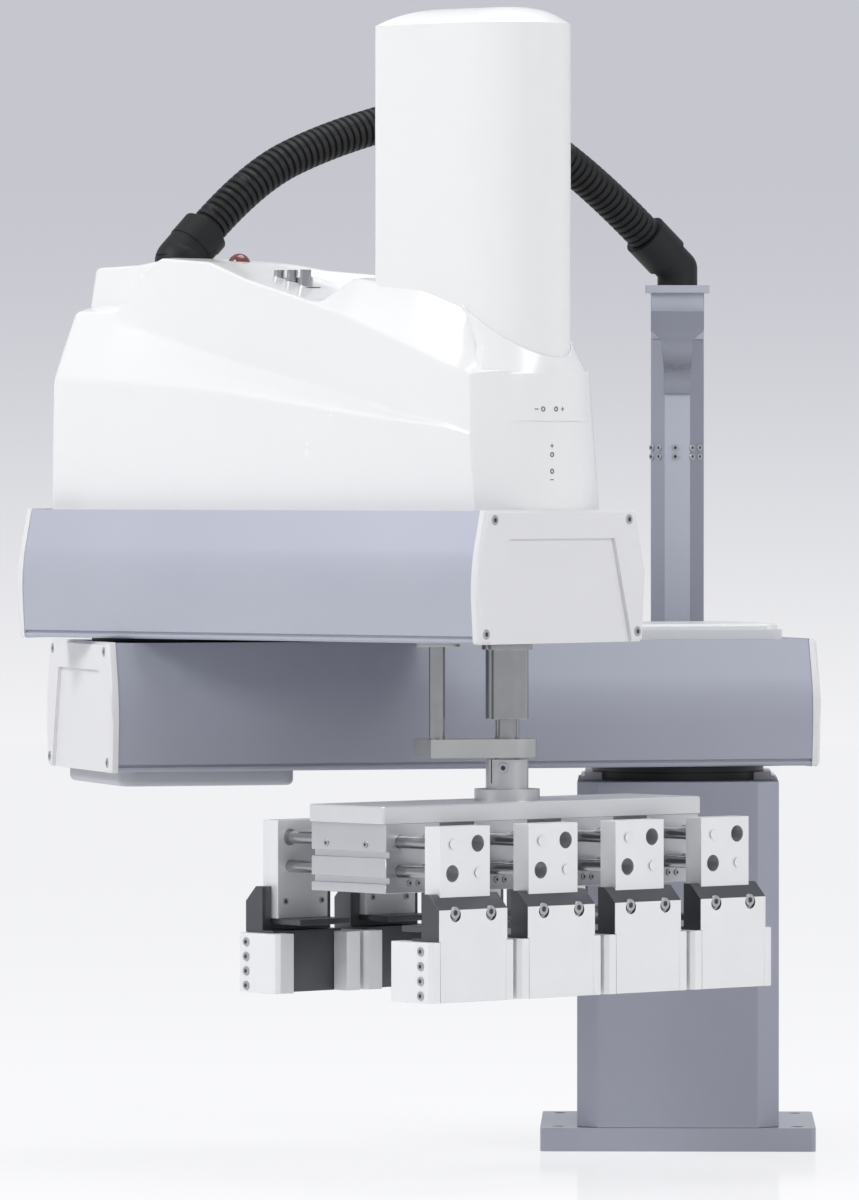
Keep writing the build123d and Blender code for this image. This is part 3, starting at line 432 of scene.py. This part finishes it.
def makeHose():
    path = readRoute(hoseRoute)
    far = walk(path)
    whole = far[-1]
    ribs = round(whole / hose["pitch"])
    form = bmesh.new()
    profile = []
    for rib in range(ribs):
        for share, radius in hose["rib"]:
            profile.append((whole * (rib + share) / ribs, radius))
    profile.append((whole, hose["valley"]))
    across = Vector((-(path[-1] - path[0]).y, (path[-1] - path[0]).x, 0)).normalized()
    rings = []
    step = 0
    for distance, radius in profile:
        while step < len(far) - 2 and far[step + 1] < distance:
            step += 1
        share = (distance - far[step]) / (far[step + 1] - far[step])
        centre = path[step].lerp(path[step + 1], share)
        before = path[max(step - 1, 0)]
        after = path[min(step + 2, len(path) - 1)]
        way = (after - before).normalized()
        up = across.cross(way).normalized()
        side = way.cross(up)
        turn = Matrix((side, up, way)).transposed().to_4x4()
        made = bmesh.ops.create_circle(
            form, cap_ends=False, segments=hose["around"], radius=radius,
            matrix=Matrix.Translation(centre) @ turn,
        )
        rings.append(made["verts"])
    for before, after in zip(rings, rings[1:]):
        count = len(before)
        for i in range(count):
            form.faces.new((before[i], before[(i + 1) % count], after[(i + 1) % count], after[i]))
    bmesh.ops.contextual_create(form, geom=rings[0])
    bmesh.ops.contextual_create(form, geom=rings[-1])
    piece = finishPiece("conduit_hose", form, [conduitNylon], None, ("conduit",), 60, False)
    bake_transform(piece)
    print("hose length", round(whole, 3))


makeHose()


# Base: plate, column, deck
dress("base_plate", platePaint, "base", 1.2, 6)
for nodeName in ("base_column", "post_bracket", "connector_panel"):
    dress(nodeName, basePaint, "base", 1.2, 6)

# The deck's layers end beside the black ring, which reaches down to the column's top
deck = {"front": -42 * mm, "skirt": 90.2 * mm}


def makeDeck():
    form = mergedCopy("base_deck")
    bmesh.ops.bisect_plane(
        form, geom=form.verts[:] + form.edges[:] + form.faces[:], plane_co=(0, deck["front"], 0),
        plane_no=(0, -1, 0), clear_outer=True,
    )
    bmesh.ops.holes_fill(form, edges=[e for e in form.edges if e.is_boundary], sides=0)
    finishPiece("dressed_base_deck", form, [deckPaint], "base", ("base_deck",))
    form = bmesh.new()
    low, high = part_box("base_deck")
    addDisc(form, Matrix.Translation((0, 0, low.z)), deck["skirt"], high.z - low.z, 64)
    finishPiece("ring_skirt", form, [blackAnodised], "base")


makeDeck()
dress("j1_reducer", blackAnodised, "base", 1.0, 4)


# Duct post with its head; the slanting facets beside its face carry a darker coat that is painted shade,
# darkest on the right-hand facets
def makePost():
    for nodeName in ("duct_post", "post_head"):
        form = mergedCopy(nodeName)
        bevelSharp(form, 1.4 * mm, 5 * mm)
        for face in form.faces:
            # Painted shade on the side facets, chosen by the way each one faces
            slanting = nodeName == "duct_post" and abs(face.normal.x) > 0.35 and face.normal.y < -0.35
            face.material_index = (1 if face.normal.x > 0 else 2) if slanting else 0
        finishPiece(
            "dressed_" + nodeName, form, [postPaint, postDarkShadePaint, postMidShadePaint], "base",
            (nodeName,),
        )


makePost()

# Tongue and lip where the post's face runs into its head; its dark coat is painted shade under the head
tongue = {
    "half": 14.8 * mm, "flare": 18 * mm, "foot": 0.793, "neck": 0.852, "lip": 0.862, "brow": 0.882,
    "footOut": 2.5 * mm, "neckOut": 7 * mm, "browOut": 9 * mm,
}


def makeTongue():
    form = bmesh.new()
    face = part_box("duct_post")[0].y
    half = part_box("duct_post")[1].x
    levels = (
        (tongue["foot"], tongue["half"], tongue["footOut"]),
        ((tongue["foot"] + tongue["neck"]) / 2, tongue["half"], (tongue["footOut"] + tongue["neckOut"]) / 2),
        (tongue["neck"], tongue["flare"], tongue["neckOut"]),
        (tongue["lip"], half, tongue["neckOut"]),
        (tongue["brow"], half, tongue["browOut"]),
    )
    seed = bmesh.ops.create_grid(
        form, x_segments=1, y_segments=1, size=1,
        matrix=Matrix.Translation((0, face, levels[0][0])) @ Matrix.Diagonal((1, 6 * mm, 1, 1)),
    )
    top = seed["verts"][0].link_faces[0]
    for index, (height, wide, out) in enumerate(levels):
        if index:
            made = bmesh.ops.extrude_face_region(form, geom=[top])
            top = next(g for g in made["geom"] if isinstance(g, bmesh.types.BMFace))
        for vert in top.verts:
            vert.co.x = wide if vert.co.x > 0 else -wide
            vert.co.y = face - out if vert.co.y < face else face + 2 * mm
            vert.co.z = height
    bevelSharp(form, 1.2 * mm, 3 * mm)
    # The tongue's dark coat is painted shade
    finishPiece("post_tongue", form, [postDarkShadePaint], "base")


makeTongue()
print("base and post made")

# Arms: extruded beams and cast end caps
creaseRound = 26 * mm
armPlaces = {"arm1": arm1Place, "arm2": arm2Place}
for arm, metal in (("arm1", arm1MetalShaded), ("arm2", arm2Metal)):
    dress(f"{arm}_beam", metal, arm, 2.2, 40, 3, 32, (armPlaces[arm], creaseRound))
dress("arm1_top_cover", topCoverPaint, "arm1", 1.2, 3)
dress("arm1_bottom_cover", coverPaint, "arm1", 1.2, 3)
dress("j2_reducer", blackAnodised, "arm1", 0.8, 4)
for arm in ("arm1", "arm2"):
    for end in ("rear", "front"):
        dress(
            f"{arm}_{end}_cap", capPaint, arm, 1.6, 3, 3, 32, (armPlaces[arm], creaseRound),
        )

capScrews = {"top": (105.6 * mm, 123 * mm), "foot": (119 * mm, 9.5 * mm), "head": 5.2 * mm, "tall": 1.6 * mm}


# Countersunk screws at the corners of both caps of one arm
def makeCapScrews(name, arm, place, low):
    form = bmesh.new()
    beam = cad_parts[f"{arm}_beam"].data
    back = place.inverted()
    along = [(back @ v.co).x for v in beam.vertices]
    for end, hand in ((min(along), -1), (max(along), 1)):
        face = end + hand * 9 * mm
        for across, up in (capScrews["top"], capScrews["foot"]):
            for side in (-1, 1):
                spot = lookAlong(place, (face - hand * 0.9 * mm, side * across, low + up), (hand, 0, 0))
                addScrew(form, spot, capScrews["head"], capScrews["tall"], 0, 1)
    finishPiece(name, form, [screwSteel, socketShade], arm)


makeCapScrews("arm1_cap_screws", "arm1", arm1Place, arm1Low)
makeCapScrews("arm2_cap_screws", "arm2", arm2Place, arm2Low)
print("arms made")

# Housing on arm 2: cross-sections along the arm, as side and height of the creases above the beam
housing = {
    "half": 98,
    "rows": (
        (-100, 136, (82, 172), (66, 205), (44, 210), (36, 250)),
        (-17, 132, (74, 190), (68, 204), (44, 211), (37, 253)),
        (33, 130, (73, 180), (62, 259), (52, 259.5), (40, 260)),
        (105, 126, (76, 161), (66, 254), (54, 254.5), (40, 255)),
        (158, 121, (78, 148), (70, 236), (58, 236.5), (42, 237)),
        (255, 109, (82, 127), (75, 211), (62, 212), (44, 213)),
        (300, 103, (85, 117), (77, 197), (62, 235), (44, 236)),
        (391, 91, (94, 96), (83, 165), (63, 224), (44, 225)),
        (450, 84, (96, 88), (88, 144), (64, 203), (44, 204)),
        (483, 76, (97, 79), (95, 136), (67, 145), (44, 146)),
        (530, 66, (97, 69), (95, 130), (67, 132), (44, 133)),
    ),
    # On the far side the roof keeps a high rim behind the fittings
    "farRows": {
        158: (121, (78, 148), (68, 246), (57, 246.5), (46, 238)),
        255: (109, (82, 127), (70, 238), (60, 238.5), (48, 216)),
        300: (103, (85, 117), (72, 235), (62, 235.5), (44, 236)),
    },
    "rounds": (5, 5, 3, 2.5, 3),  # corner rounding of the five creases
    "soften": 3,  # how far along the arm each change is eased
    "rear": -89,
    "rearLean": 6 / 270,
    "noseCorner": 490,
    "cornerLean": 26 / 270,
    "noseBulge": 29,
    "bulgeGrowth": 21 / 270,
    "rearEdge": 11,  # rounding of the rear face's edges
    "wallSteps": 6,
    "rowPitch": 8,
}


# All heights and sides of the cross-section at t, eased along the arm
def housingSizes(t, far):
    rows = housing["rows"]
    if far:
        rows = [(row[0], *housing["farRows"].get(row[0], row[1:])) for row in rows]

    def straight(at):
        at = min(max(at, rows[0][0]), rows[-1][0])
        for low, high in zip(rows, rows[1:]):
            if at <= high[0]:
                share = (at - low[0]) / (high[0] - low[0])
                flatLow = [low[1]] + [v for pair in low[2:] for v in pair]
                flatHigh = [high[1]] + [v for pair in high[2:] for v in pair]
                return [a + (b - a) * share for a, b in zip(flatLow, flatHigh)]

    taps = [straight(t + housing["soften"] * (k / 3 - 1)) for k in range(7)]
    return [sum(values) / len(taps) for values in zip(*taps)]


# One half of the cross-section, wall foot to crown, with its creases rounded
def roundedProfile(t, far=False):
    sizes = housingSizes(t, far)
    crown = (sizes[-1] + housingSizes(t, not far)[-1]) / 2
    half = housing["half"]
    corners = [(half, sizes[0])] + [(sizes[i], sizes[i + 1]) for i in range(1, 9, 2)]
    line = [Vector((half, 0))] + [Vector(c) for c in corners] + [Vector((0, crown))]
    steps = housing["wallSteps"]
    points = []
    for index in range(1, len(line) - 1):
        before, corner, after = line[index - 1], line[index], line[index + 1]
        reach = min(
            housing["rounds"][index - 1], 0.45 * (corner - before).length, 0.45 * (after - corner).length,
        )
        start = corner + (before - corner).normalized() * reach
        end = corner + (after - corner).normalized() * reach
        if index == 1:
            points += [line[0].lerp(start, k / steps) for k in range(steps)]
        if index > 1:
            last = points[-1].copy()
            points += [last.lerp(start, k / 3) for k in (1, 2)]
        for k in range(5):
            share = k / 4
            points.append(
                start * (1 - share) ** 2 + corner * 2 * share * (1 - share) + end * share ** 2
            )
    last = points[-1].copy()
    points += [last.lerp(line[-1], k / 5) for k in range(1, 6)]
    return points


# The nose is a round arc across the arm, flatter at the foot than at the top
def noseAt(side, height):
    half = housing["half"]
    bulge = housing["noseBulge"] + housing["bulgeGrowth"] * height
    radius = (half ** 2 + bulge ** 2) / (2 * bulge)
    corner = housing["noseCorner"] - housing["cornerLean"] * height
    return corner + bulge - radius + (radius ** 2 - side ** 2) ** 0.5


def rearAt(height):
    return housing["rear"] + housing["rearLean"] * height


def makeHousing():
    form = bmesh.new()
    low = arm2High / mm
    columns = len(roundedProfile(0))
    span = housing["noseCorner"] - housing["rear"]
    rowCount = round(span / housing["rowPitch"])
    edge = housing["rearEdge"]
    shares = [edge * (1 - cos(pi / 2 * k / 5)) / span for k in range(6)]
    shares += [k / rowCount for k in range(2, rowCount + 1)]
    grid = []
    for share in shares:
        inset = edge - (edge ** 2 - max(edge - share * span, 0) ** 2) ** 0.5
        sides = []
        for far in (False, True):
            row = []
            for j in range(columns):
                t = housing["rear"] + span * share
                for _ in range(4):
                    side, height = roundedProfile(t, far)[j]
                    t = rearAt(height) + (noseAt(side, height) - rearAt(height)) * share
                side, height = roundedProfile(t, far)[j]
                row.append((t, side - min(inset, side), height - inset * height / 250))
            sides.append(row)
        grid.append(sides[0] + [(t, -s, h) for t, s, h in reversed(sides[1][:-1])])
    rings = [
        [form.verts.new(arm2Place @ Vector((t * mm, -s * mm, (low + h) * mm))) for t, s, h in row]
        for row in grid
    ]
    for before, after in zip(rings, rings[1:]):
        for i in range(len(before) - 1):
            form.faces.new((before[i], before[i + 1], after[i + 1], after[i]))
    steps = housing["wallSteps"]
    for ring, row, ending in ((rings[0], grid[0], "rear"), (rings[-1], grid[-1], "nose")):
        whole = row
        columnsUp = []
        for i in range(steps, len(whole) - steps):
            t, s, h = whole[i]
            column = []
            for k in range(steps):
                height = h * k / steps
                at = noseAt(s, height) if ending == "nose" else rearAt(height)
                column.append((at, s, height))
            columnsUp.append(column)
        made = []
        for index, column in enumerate(columnsUp):
            if index == 0:
                made.append([ring[k] for k in range(steps)] + [ring[steps]])
            elif index == len(columnsUp) - 1:
                made.append([ring[-1 - k] for k in range(steps)] + [ring[-1 - steps]])
            else:
                verts = [
                    form.verts.new(arm2Place @ Vector((t * mm, -s * mm, (low + h) * mm)))
                    for t, s, h in column
                ]
                made.append(verts + [ring[steps + index]])
        for before, after in zip(made, made[1:]):
            for k in range(steps):
                form.faces.new((before[k], before[k + 1], after[k + 1], after[k]))
    bmesh.ops.remove_doubles(form, verts=form.verts, dist=0.00005)
    bmesh.ops.holes_fill(form, edges=[e for e in form.edges if e.is_boundary], sides=0)
    finishPiece("housing_shell", form, [shellWhite], "arm2", ("arm2_cover",), 24)


makeHousing()
for nodeName in ("z_tower", "front_collar"):
    finishPiece(
        "dressed_" + nodeName, mergedCopy(nodeName), [shellWhite], "arm2", (nodeName,), 30,
    )

towerCap = {
    "radius": 64, "back": 125, "corner": 9, "base": 1159.9, "rise": 17.5, "steps": 14, "fullness": 2.8,
}


# A shallow dome on the tower's plan, with a crisp edge round its foot
def makeTowerCap():
    form = bmesh.new()
    rings = []
    radius, back, corner = towerCap["radius"], towerCap["back"], towerCap["corner"]
    for step in range(towerCap["steps"] + 1):
        share = step / towerCap["steps"] * 0.94
        shrink = radius * share
        height = towerCap["base"] + towerCap["rise"] * (1 - (1 - share) ** towerCap["fullness"])
        outer = []
        for k in range(25):
            turn = radians(-90 + 180 * k / 24)
            outer.append((cos(turn) * (radius - shrink), sin(turn) * (radius - shrink)))
        inner = min(corner, 0.4 * (radius - shrink))
        for hand in (1, -1):
            for k in range(7):
                turn = radians(90 + 90 * k / 6) if hand == 1 else radians(180 + 90 * k / 6)
                outer.append((
                    -back + shrink + inner + cos(turn) * inner,
                    hand * (radius - shrink - inner) + sin(turn) * inner,
                ))
        rings.append([
            form.verts.new(arm2Place @ Vector((robot["arm2Reach"] + x * mm, y * mm, height * mm)))
            for x, y in outer
        ])
    for before, after in zip(rings, rings[1:]):
        count = len(before)
        for i in range(count):
            form.faces.new((before[i], before[(i + 1) % count], after[(i + 1) % count], after[i]))
    form.faces.new(rings[-1])
    form.faces.new(list(reversed(rings[0])))
    finishPiece("tower_dome", form, [shellWhite], "arm2", ("z_tower_cap",), 50)


makeTowerCap()
print("housing and tower made")

# Fittings in the roof
lamp = {"lens": 11.8 * mm, "ring": 13.6 * mm, "lower": 2.2 * mm}


# The lamp: a moulded dome on a polished ring
def makeLamp():
    low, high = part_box("indicator_lamp")
    middle = Vector(((low.x + high.x) / 2, (low.y + high.y) / 2, high.z - lamp["lower"] - lamp["lens"]))
    form = bmesh.new()
    ringTall = middle.z - low.z - 1.5 * mm
    addDisc(form, Matrix.Translation((middle.x, middle.y, low.z)), lamp["ring"], ringTall, 40)
    bevelSharp(form, 0.8 * mm, 1 * mm)
    finishPiece("lamp_ring", form, [chromeFinish], "arm2", (), 30)
    form = bmesh.new()
    bmesh.ops.create_uvsphere(
        form, u_segments=40, v_segments=24, radius=lamp["lens"], matrix=Matrix.Translation(middle),
    )
    finishPiece("lamp_dome", form, [lensRed], "arm2", ("indicator_lamp",), 40)


makeLamp()
dress("air_plate", slotDark, "arm2", 0.5, 1)
dress("air_fittings", chromeFinish, "arm2", 0.5, 1)
dress("post_fitting", conduitNylon, "base", 1.2, 2, 3, 40)

swivel = {
    "radius": 27.5 * mm, "pipe": 25.2 * mm, "middle": (-0.5165, -0.1652, 0.9275), "seat": 0.9112,
    "collarFoot": 0.9355,
}


# The swivel elbow: its collar, and a round body from the roof up to it
def makeSwivel():
    form = mergedCopy("cover_fitting")
    bmesh.ops.bisect_plane(
        form, geom=form.verts[:] + form.edges[:] + form.faces[:], plane_co=(0, 0, swivel["collarFoot"]),
        plane_no=(0, 0, -1), clear_outer=True,
    )
    bmesh.ops.holes_fill(form, edges=[e for e in form.edges if e.is_boundary], sides=0)
    bevelSharp(form, 1.2 * mm, 2 * mm, 3)
    finishPiece("swivel_collar", form, [conduitNylon], "arm1", ("cover_fitting",), 40)
    form = bmesh.new()
    middle = Vector(swivel["middle"])
    foot = Matrix.Translation((middle.x, middle.y, swivel["seat"]))
    addDisc(form, foot, swivel["radius"], middle.z - swivel["seat"], 40)
    bmesh.ops.create_uvsphere(
        form, u_segments=40, v_segments=24, radius=swivel["radius"], matrix=Matrix.Translation(middle),
    )
    start, second = Vector(hoseRoute[0]), Vector(hoseRoute[1])
    way = (second - start).normalized()
    long = (start - middle).dot(way) - 12 * mm
    turn = way.to_track_quat("Z", "Y").to_matrix().to_4x4()
    addDisc(form, Matrix.Translation(start - way * (long + 12 * mm)) @ turn, swivel["pipe"], long, 40)
    finishPiece("swivel_body", form, [conduitNylon], "arm1", (), 40)


makeSwivel()

# Shaft group
dress("spline_sleeve", shaftSteel, "arm2", 0.8, 1)
dress("guide_bush", linkMetal, "arm2", 0.6, 1)
dress("torque_arm", linkMetal, "z_carriage", 1.4, 2, 3)
dress("guide_rod", shaftSteel, "z_carriage", 0.4, 1)
dress("spline_shaft", shaftSteel, "tool", 0.2, 1)
dress("tool_clamp", clampMetal, "tool", 0.6, 1)
dress("tool_plate", plateMetal, "tool", 1.6, 10, 2)
dress("gripper_bodies", bodyMetal, "tool", 0.8, 8, 2)
print("shaft and tool plate made")


gripperPitch = 119.4 * mm
fingerFace = 128 * mm  # past here a front face of the finger is painted white, a painted reflection on its dark metal
guideWing = {"from": 49 * mm, "by": 3.4 * mm}
jawHole = {"across": 17 * mm, "high": 18 * mm, "low": 47 * mm, "radius": 8.6 * mm}


# How far across the tool plate a gripper's middle is
def gripperSide(number):
    return (number - 2.5) * gripperPitch


# Jaws: milled plate with ground rods and painted shade in and round its two holes, and a dark anodised finger
# with white guide plates and a front painted white as a painted reflection
def makeJaw(name, number, hand):
    body = f"{name}_jaw_pair_{number}"
    middle = gripperSide(number)
    form = mergedCopy(f"{name}_jaw_{number}")
    for group in islands(form):
        low, high = spanOf(group, toolPlace)
        slim = high.z - low.z < 20 * mm
        for face in group:
            place = toolPlace.inverted() @ face.calc_center_median()
            normal = (toolPlace.inverted().to_3x3() @ face.normal).normalized()
            face.material_index = 1 if slim and abs(normal.x) < 0.9 else 0
            # Faces in and round the two holes get the darker metal, painted shade
            for across, down in ((hand, jawHole["high"]), (-hand, jawHole["low"])):
                away = Vector((place.y - middle - across * jawHole["across"], place.z - plateLow + down))
                if not slim and away.length < jawHole["radius"]:
                    face.material_index = 2
    bevelSharp(form, 0.7 * mm, 1.2 * mm)
    finishPiece(f"{name}_jaw_plate_{number}", form, [jawMetal, shaftSteel, holeShadeMetal], body,
                (f"{name}_jaw_{number}",))
    form = mergedCopy(f"{name}_finger_{number}")
    for group in islands(form):
        low, high = spanOf(group, toolPlace)
        block = high.z - low.z > 80 * mm
        guide = high.y - low.y < 20 * mm
        for face in group:
            normal = (toolPlace.inverted().to_3x3() @ face.normal).normalized()
            place = toolPlace.inverted() @ face.calc_center_median()
            # Front faces of the finger block are painted white: a painted reflection of bright light on dark
            # metal
            facing = block and normal.x * hand > 0.9 and place.x * hand > fingerFace
            face.material_index = 1 if facing or guide else 0
    # The guides reach nearly to the next gripper's
    for vert in form.verts:
        place = toolPlace.inverted() @ vert.co
        side = place.y - middle
        if abs(side) > guideWing["from"]:
            place.y += guideWing["by"] * (1 if side > 0 else -1)
            vert.co = toolPlace @ place
    bevelSharp(form, 1.0 * mm, 2.2 * mm)
    finishPiece(f"{name}_finger_block_{number}", form, [fingerDark, fingerWhiteAndPaintedGlint], body,
                (f"{name}_finger_{number}",))


fingerScrews = {
    "across": 24 * mm, "height": 277 * mm, "sunk": 139 * mm, "head": 6.2 * mm, "tall": 4 * mm,
    "guideX": 129 * mm, "guideHeights": (239.6, 225.0, 210.5, 196.0), "guideFace": 57.45 * mm,
    "guideHead": 4.6 * mm, "guideTall": 1.8 * mm, "guideSunk": 0.6 * mm,
}


def makeFingerScrews(name, number, hand):
    form = bmesh.new()
    side = gripperSide(number)
    for edge in (-1, 1):
        spot = lookAlong(
            toolPlace,
            (hand * fingerScrews["sunk"], side + edge * fingerScrews["across"], fingerScrews["height"]),
            (hand, 0, 0),
        )
        addScrew(form, spot, fingerScrews["head"], fingerScrews["tall"])
        guideSide = side + edge * (fingerScrews["guideFace"] - fingerScrews["guideSunk"])
        for height in fingerScrews["guideHeights"]:
            spot = lookAlong(
                toolPlace, (hand * fingerScrews["guideX"], guideSide, height * mm), (0, edge, 0),
            )
            addScrew(form, spot, fingerScrews["guideHead"], fingerScrews["guideTall"])
    finishPiece(f"{name}_finger_screws_{number}", form, [screwSteel, socketShade], f"{name}_jaw_pair_{number}")


for number in (1, 2, 3, 4):
    for name, hand in (("front", 1), ("rear", -1)):
        makeJaw(name, number, hand)
        makeFingerScrews(name, number, hand)
print("grippers made")

# Where a line from the camera through a place in the 859 x 1200 picture meets a piece
def onPiece(piece, across, down):
    focal = camera["lens"] / 36 * 1200
    way = viewer.matrix_basis.to_3x3() @ Vector((across - 429.5, 600 - down, -focal)).normalized()
    mesh = piece.data
    tree = BVHTree.FromPolygons([v.co for v in mesh.vertices], [list(p.vertices) for p in mesh.polygons])
    spot, normal, _, _ = tree.ray_cast(Vector(camera["place"]), way)
    if normal.dot(way) > 0:
        normal = -normal
    flat = Vector((0, 0, 1)).cross(normal).normalized()
    return Matrix.Translation(spot) @ Matrix((flat, normal.cross(flat), normal)).transposed().to_4x4()


# Small screws and ports: carrying piece, body, head radius in mm, and their places in the picture
smallScrews = (
    ("post_screws", "dressed_duct_post", "base", "steel", 3.6, (
        (675.3, 447.7), (675.3, 456.6), (651.9, 447.7), (659.2, 447.7), (651.9, 456.6), (659.2, 456.6),
        (691.9, 447.7), (699.1, 447.7), (691.9, 456.6), (699.1, 456.6),
    )),
    ("clamp_screw", "dressed_tool_clamp", "tool", "machined_aluminium", 5.4, ((503.4, 768.0),)),
    ("rear_jaw_screws_1", "rear_jaw_plate_1", "rear_jaw_pair_1", "machined_aluminium", 3.2, (
        (285.3, 901.4), (321.5, 899.9),
    )),
    ("rear_jaw_screws_2", "rear_jaw_plate_2", "rear_jaw_pair_2", "machined_aluminium", 3.2, (
        (372.6, 897.0), (406.4, 896.2),
    )),
    ("body_ports", "dressed_gripper_bodies", "tool", "machined_aluminium", 3.3, (
        (326.4, 842.8), (365.6, 844.7), (409.4, 883.0), (418.0, 883.0), (496.4, 879.4), (504.6, 879.4),
        (583.6, 876.4), (591.6, 876.4), (668.4, 872.3), (676.4, 872.3),
    )),
)


def makeSmallScrews():
    for name, carrier, body, slot, radius, places in smallScrews:
        form = bmesh.new()
        for across, down in places:
            spot = onPiece(bpy.data.objects[carrier], across, down)
            addScrew(form, spot @ Matrix.Translation((0, 0, -0.5 * mm)), radius * mm, 1.7 * mm)
        finishPiece(name, form, [screwSteel, socketShade], body)


makeSmallScrews()

# Printed marks for the two pairs of keys: plus, minus and rings
marks = {
    "front_collar_marks": ("dressed_front_collar", (
        ("minus", 536.6, 409), ("ring", 543.2, 409), ("ring", 556.0, 409), ("plus", 562.6, 409),
    )),
    "nose_marks": ("housing_shell", (
        ("plus", 552, 445.8), ("ring", 552, 454.6), ("ring", 552, 471.2), ("minus", 552, 479.7),
    )),
}
markSize = {"long": 4.6 * mm, "line": 0.9 * mm, "thick": 0.15 * mm, "ring": 2.1 * mm}


def addMark(form, spot, kind):
    long, line, thick = markSize["long"] / 2, markSize["line"] / 2, markSize["thick"]
    if kind == "ring":
        seed = bmesh.ops.create_grid(
            form, x_segments=1, y_segments=1, size=line,
            matrix=spot @ Matrix.Translation((markSize["ring"], 0, 0)) @ Matrix.Rotation(pi / 2, 4, "X"),
        )
        faces = list({f for v in seed["verts"] for f in v.link_faces})
        bmesh.ops.spin(
            form, geom=faces, cent=spot.translation, axis=spot.to_3x3() @ Vector((0, 0, 1)), steps=20,
            angle=2 * pi, use_merge=True, use_normal_flip=False, use_duplicate=False,
        )
    else:
        addBlock(form, spot, (-long, -line, -thick), (long, line, thick))
        if kind == "plus":
            addBlock(form, spot, (-line, -long, -thick), (line, long, thick))


def makeMarks():
    for name, (carrier, places) in marks.items():
        form = bmesh.new()
        for kind, across, down in places:
            addMark(form, onPiece(bpy.data.objects[carrier], across, down), kind)
        finishPiece(name, form, [markGrey], "arm2")


makeMarks()
print("screws and marks made")

# Inner pieces stay as their solids with a finish
insideFinish = {
    "j1_motor": blackAnodised, "j1_output": screwSteel, "j2_motor": blackAnodised, "u_motor": blackAnodised,
    "z_motor": blackAnodised, "spline_nut": screwSteel, "ball_nut": screwSteel, "drive_belts": rubberBlack,
}
for nodeName, material in insideFinish.items():
    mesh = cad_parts[nodeName].data
    mesh.materials.clear()
    mesh.materials.append(material)

# Floor, backdrop and light
studio = {
    "floor": "#fbfbfc",
    "high": "#c5c6ce",
    "low": "#fcfcfd",
    "ambient": 0.41,
    "skyFrom": -0.055,  # rise of the line of sight where the backdrop starts to darken
    "skyTo": 0.035,
    "glow": 1.14,
    "glowShare": 0.6,  # the rest of the floor is lit, and keeps the shadow
    "lamps": (
        # name, place, aim, size, power
        ("keyLamp", (-3.6, -2.2, 3.3), (-0.2, -0.1, 0.7), 1.8, 112),
        ("fillLamp", (3.6, -2.8, 2.8), (0.0, 0.0, 0.6), 2.2, 78),
        ("topLamp", (0.2, 0.3, 4.2), (-0.2, -0.1, 0.5), 2.4, 60),
    ),
}


def makeStudio():
    floor = bmesh.new()
    bmesh.ops.create_grid(floor, x_segments=1, y_segments=1, size=14)
    mesh = bpy.data.meshes.new("studio_floor")
    floor.to_mesh(mesh)
    floor.free()
    ground = bpy.data.objects.new("studio_floor", mesh)
    scene.collection.objects.link(ground)
    made, tree, shader = startMaterial("paleFloor", studio["floor"], 0.0, 0.1)
    cover = tree.nodes["Material Output"]
    glow = addNode(
        tree, "ShaderNodeEmission", {"Color": (*linear(studio["low"]), 1), "Strength": studio["glow"]},
    )
    # The pale ground is there for the eye and in reflections only, and lights nothing
    path = addNode(tree, "ShaderNodeLightPath")
    direct = addNode(
        tree, "ShaderNodeMath", {}, {0: path.outputs["Is Camera Ray"], 1: path.outputs["Is Glossy Ray"]},
        operation="MAXIMUM",
    )
    share = addNode(
        tree, "ShaderNodeMath", {1: studio["glowShare"]}, {0: direct.outputs["Value"]}, operation="MULTIPLY",
    )
    mixed = addNode(tree, "ShaderNodeMixShader", {}, {0: share.outputs["Value"]})
    tree.links.new(shader.outputs[0], mixed.inputs[1])
    tree.links.new(glow.outputs[0], mixed.inputs[2])
    tree.links.new(mixed.outputs[0], cover.inputs["Surface"])
    mesh.materials.append(made)
    world = bpy.data.worlds.new("studio")
    world.use_nodes = True
    tree = world.node_tree
    tree.nodes.clear()
    where = addNode(tree, "ShaderNodeTexCoord")
    parts = addNode(tree, "ShaderNodeSeparateXYZ", {}, {"Vector": where.outputs["Generated"]})
    rise = addNode(
        tree, "ShaderNodeMapRange", {"From Min": studio["skyFrom"], "From Max": studio["skyTo"]},
        {"Value": parts.outputs["Z"]}, interpolation_type="SMOOTHSTEP",
    )
    tones = addNode(tree, "ShaderNodeMix", {}, {"Factor": rise.outputs["Result"]}, data_type="RGBA")
    tones.inputs[6].default_value = (*linear(studio["low"]), 1)
    tones.inputs[7].default_value = (*linear(studio["high"]), 1)
    seen = addNode(tree, "ShaderNodeBackground", {"Strength": 1.0}, {"Color": tones.outputs[2]})
    soft = addNode(
        tree, "ShaderNodeBackground", {"Color": (0.97, 0.98, 1.0, 1), "Strength": studio["ambient"]},
    )
    path = addNode(tree, "ShaderNodeLightPath")
    direct = addNode(
        tree, "ShaderNodeMath", {}, {0: path.outputs["Is Camera Ray"], 1: path.outputs["Is Glossy Ray"]},
        operation="MAXIMUM",
    )
    mixed = addNode(tree, "ShaderNodeMixShader", {}, {0: direct.outputs["Value"]})
    tree.links.new(soft.outputs[0], mixed.inputs[1])
    tree.links.new(seen.outputs[0], mixed.inputs[2])
    out = addNode(tree, "ShaderNodeOutputWorld")
    tree.links.new(mixed.outputs[0], out.inputs["Surface"])
    scene.world = world
    for name, place, aim, size, power in studio["lamps"]:
        lamp = bpy.data.lights.new(name, "AREA")
        lamp.size = size
        lamp.energy = power
        holder = bpy.data.objects.new(name, lamp)
        holder.location = place
        holder.rotation_euler = (Vector(aim) - Vector(place)).to_track_quat("-Z", "Y").to_euler()
        scene.collection.objects.link(holder)


makeStudio()
print("studio made")
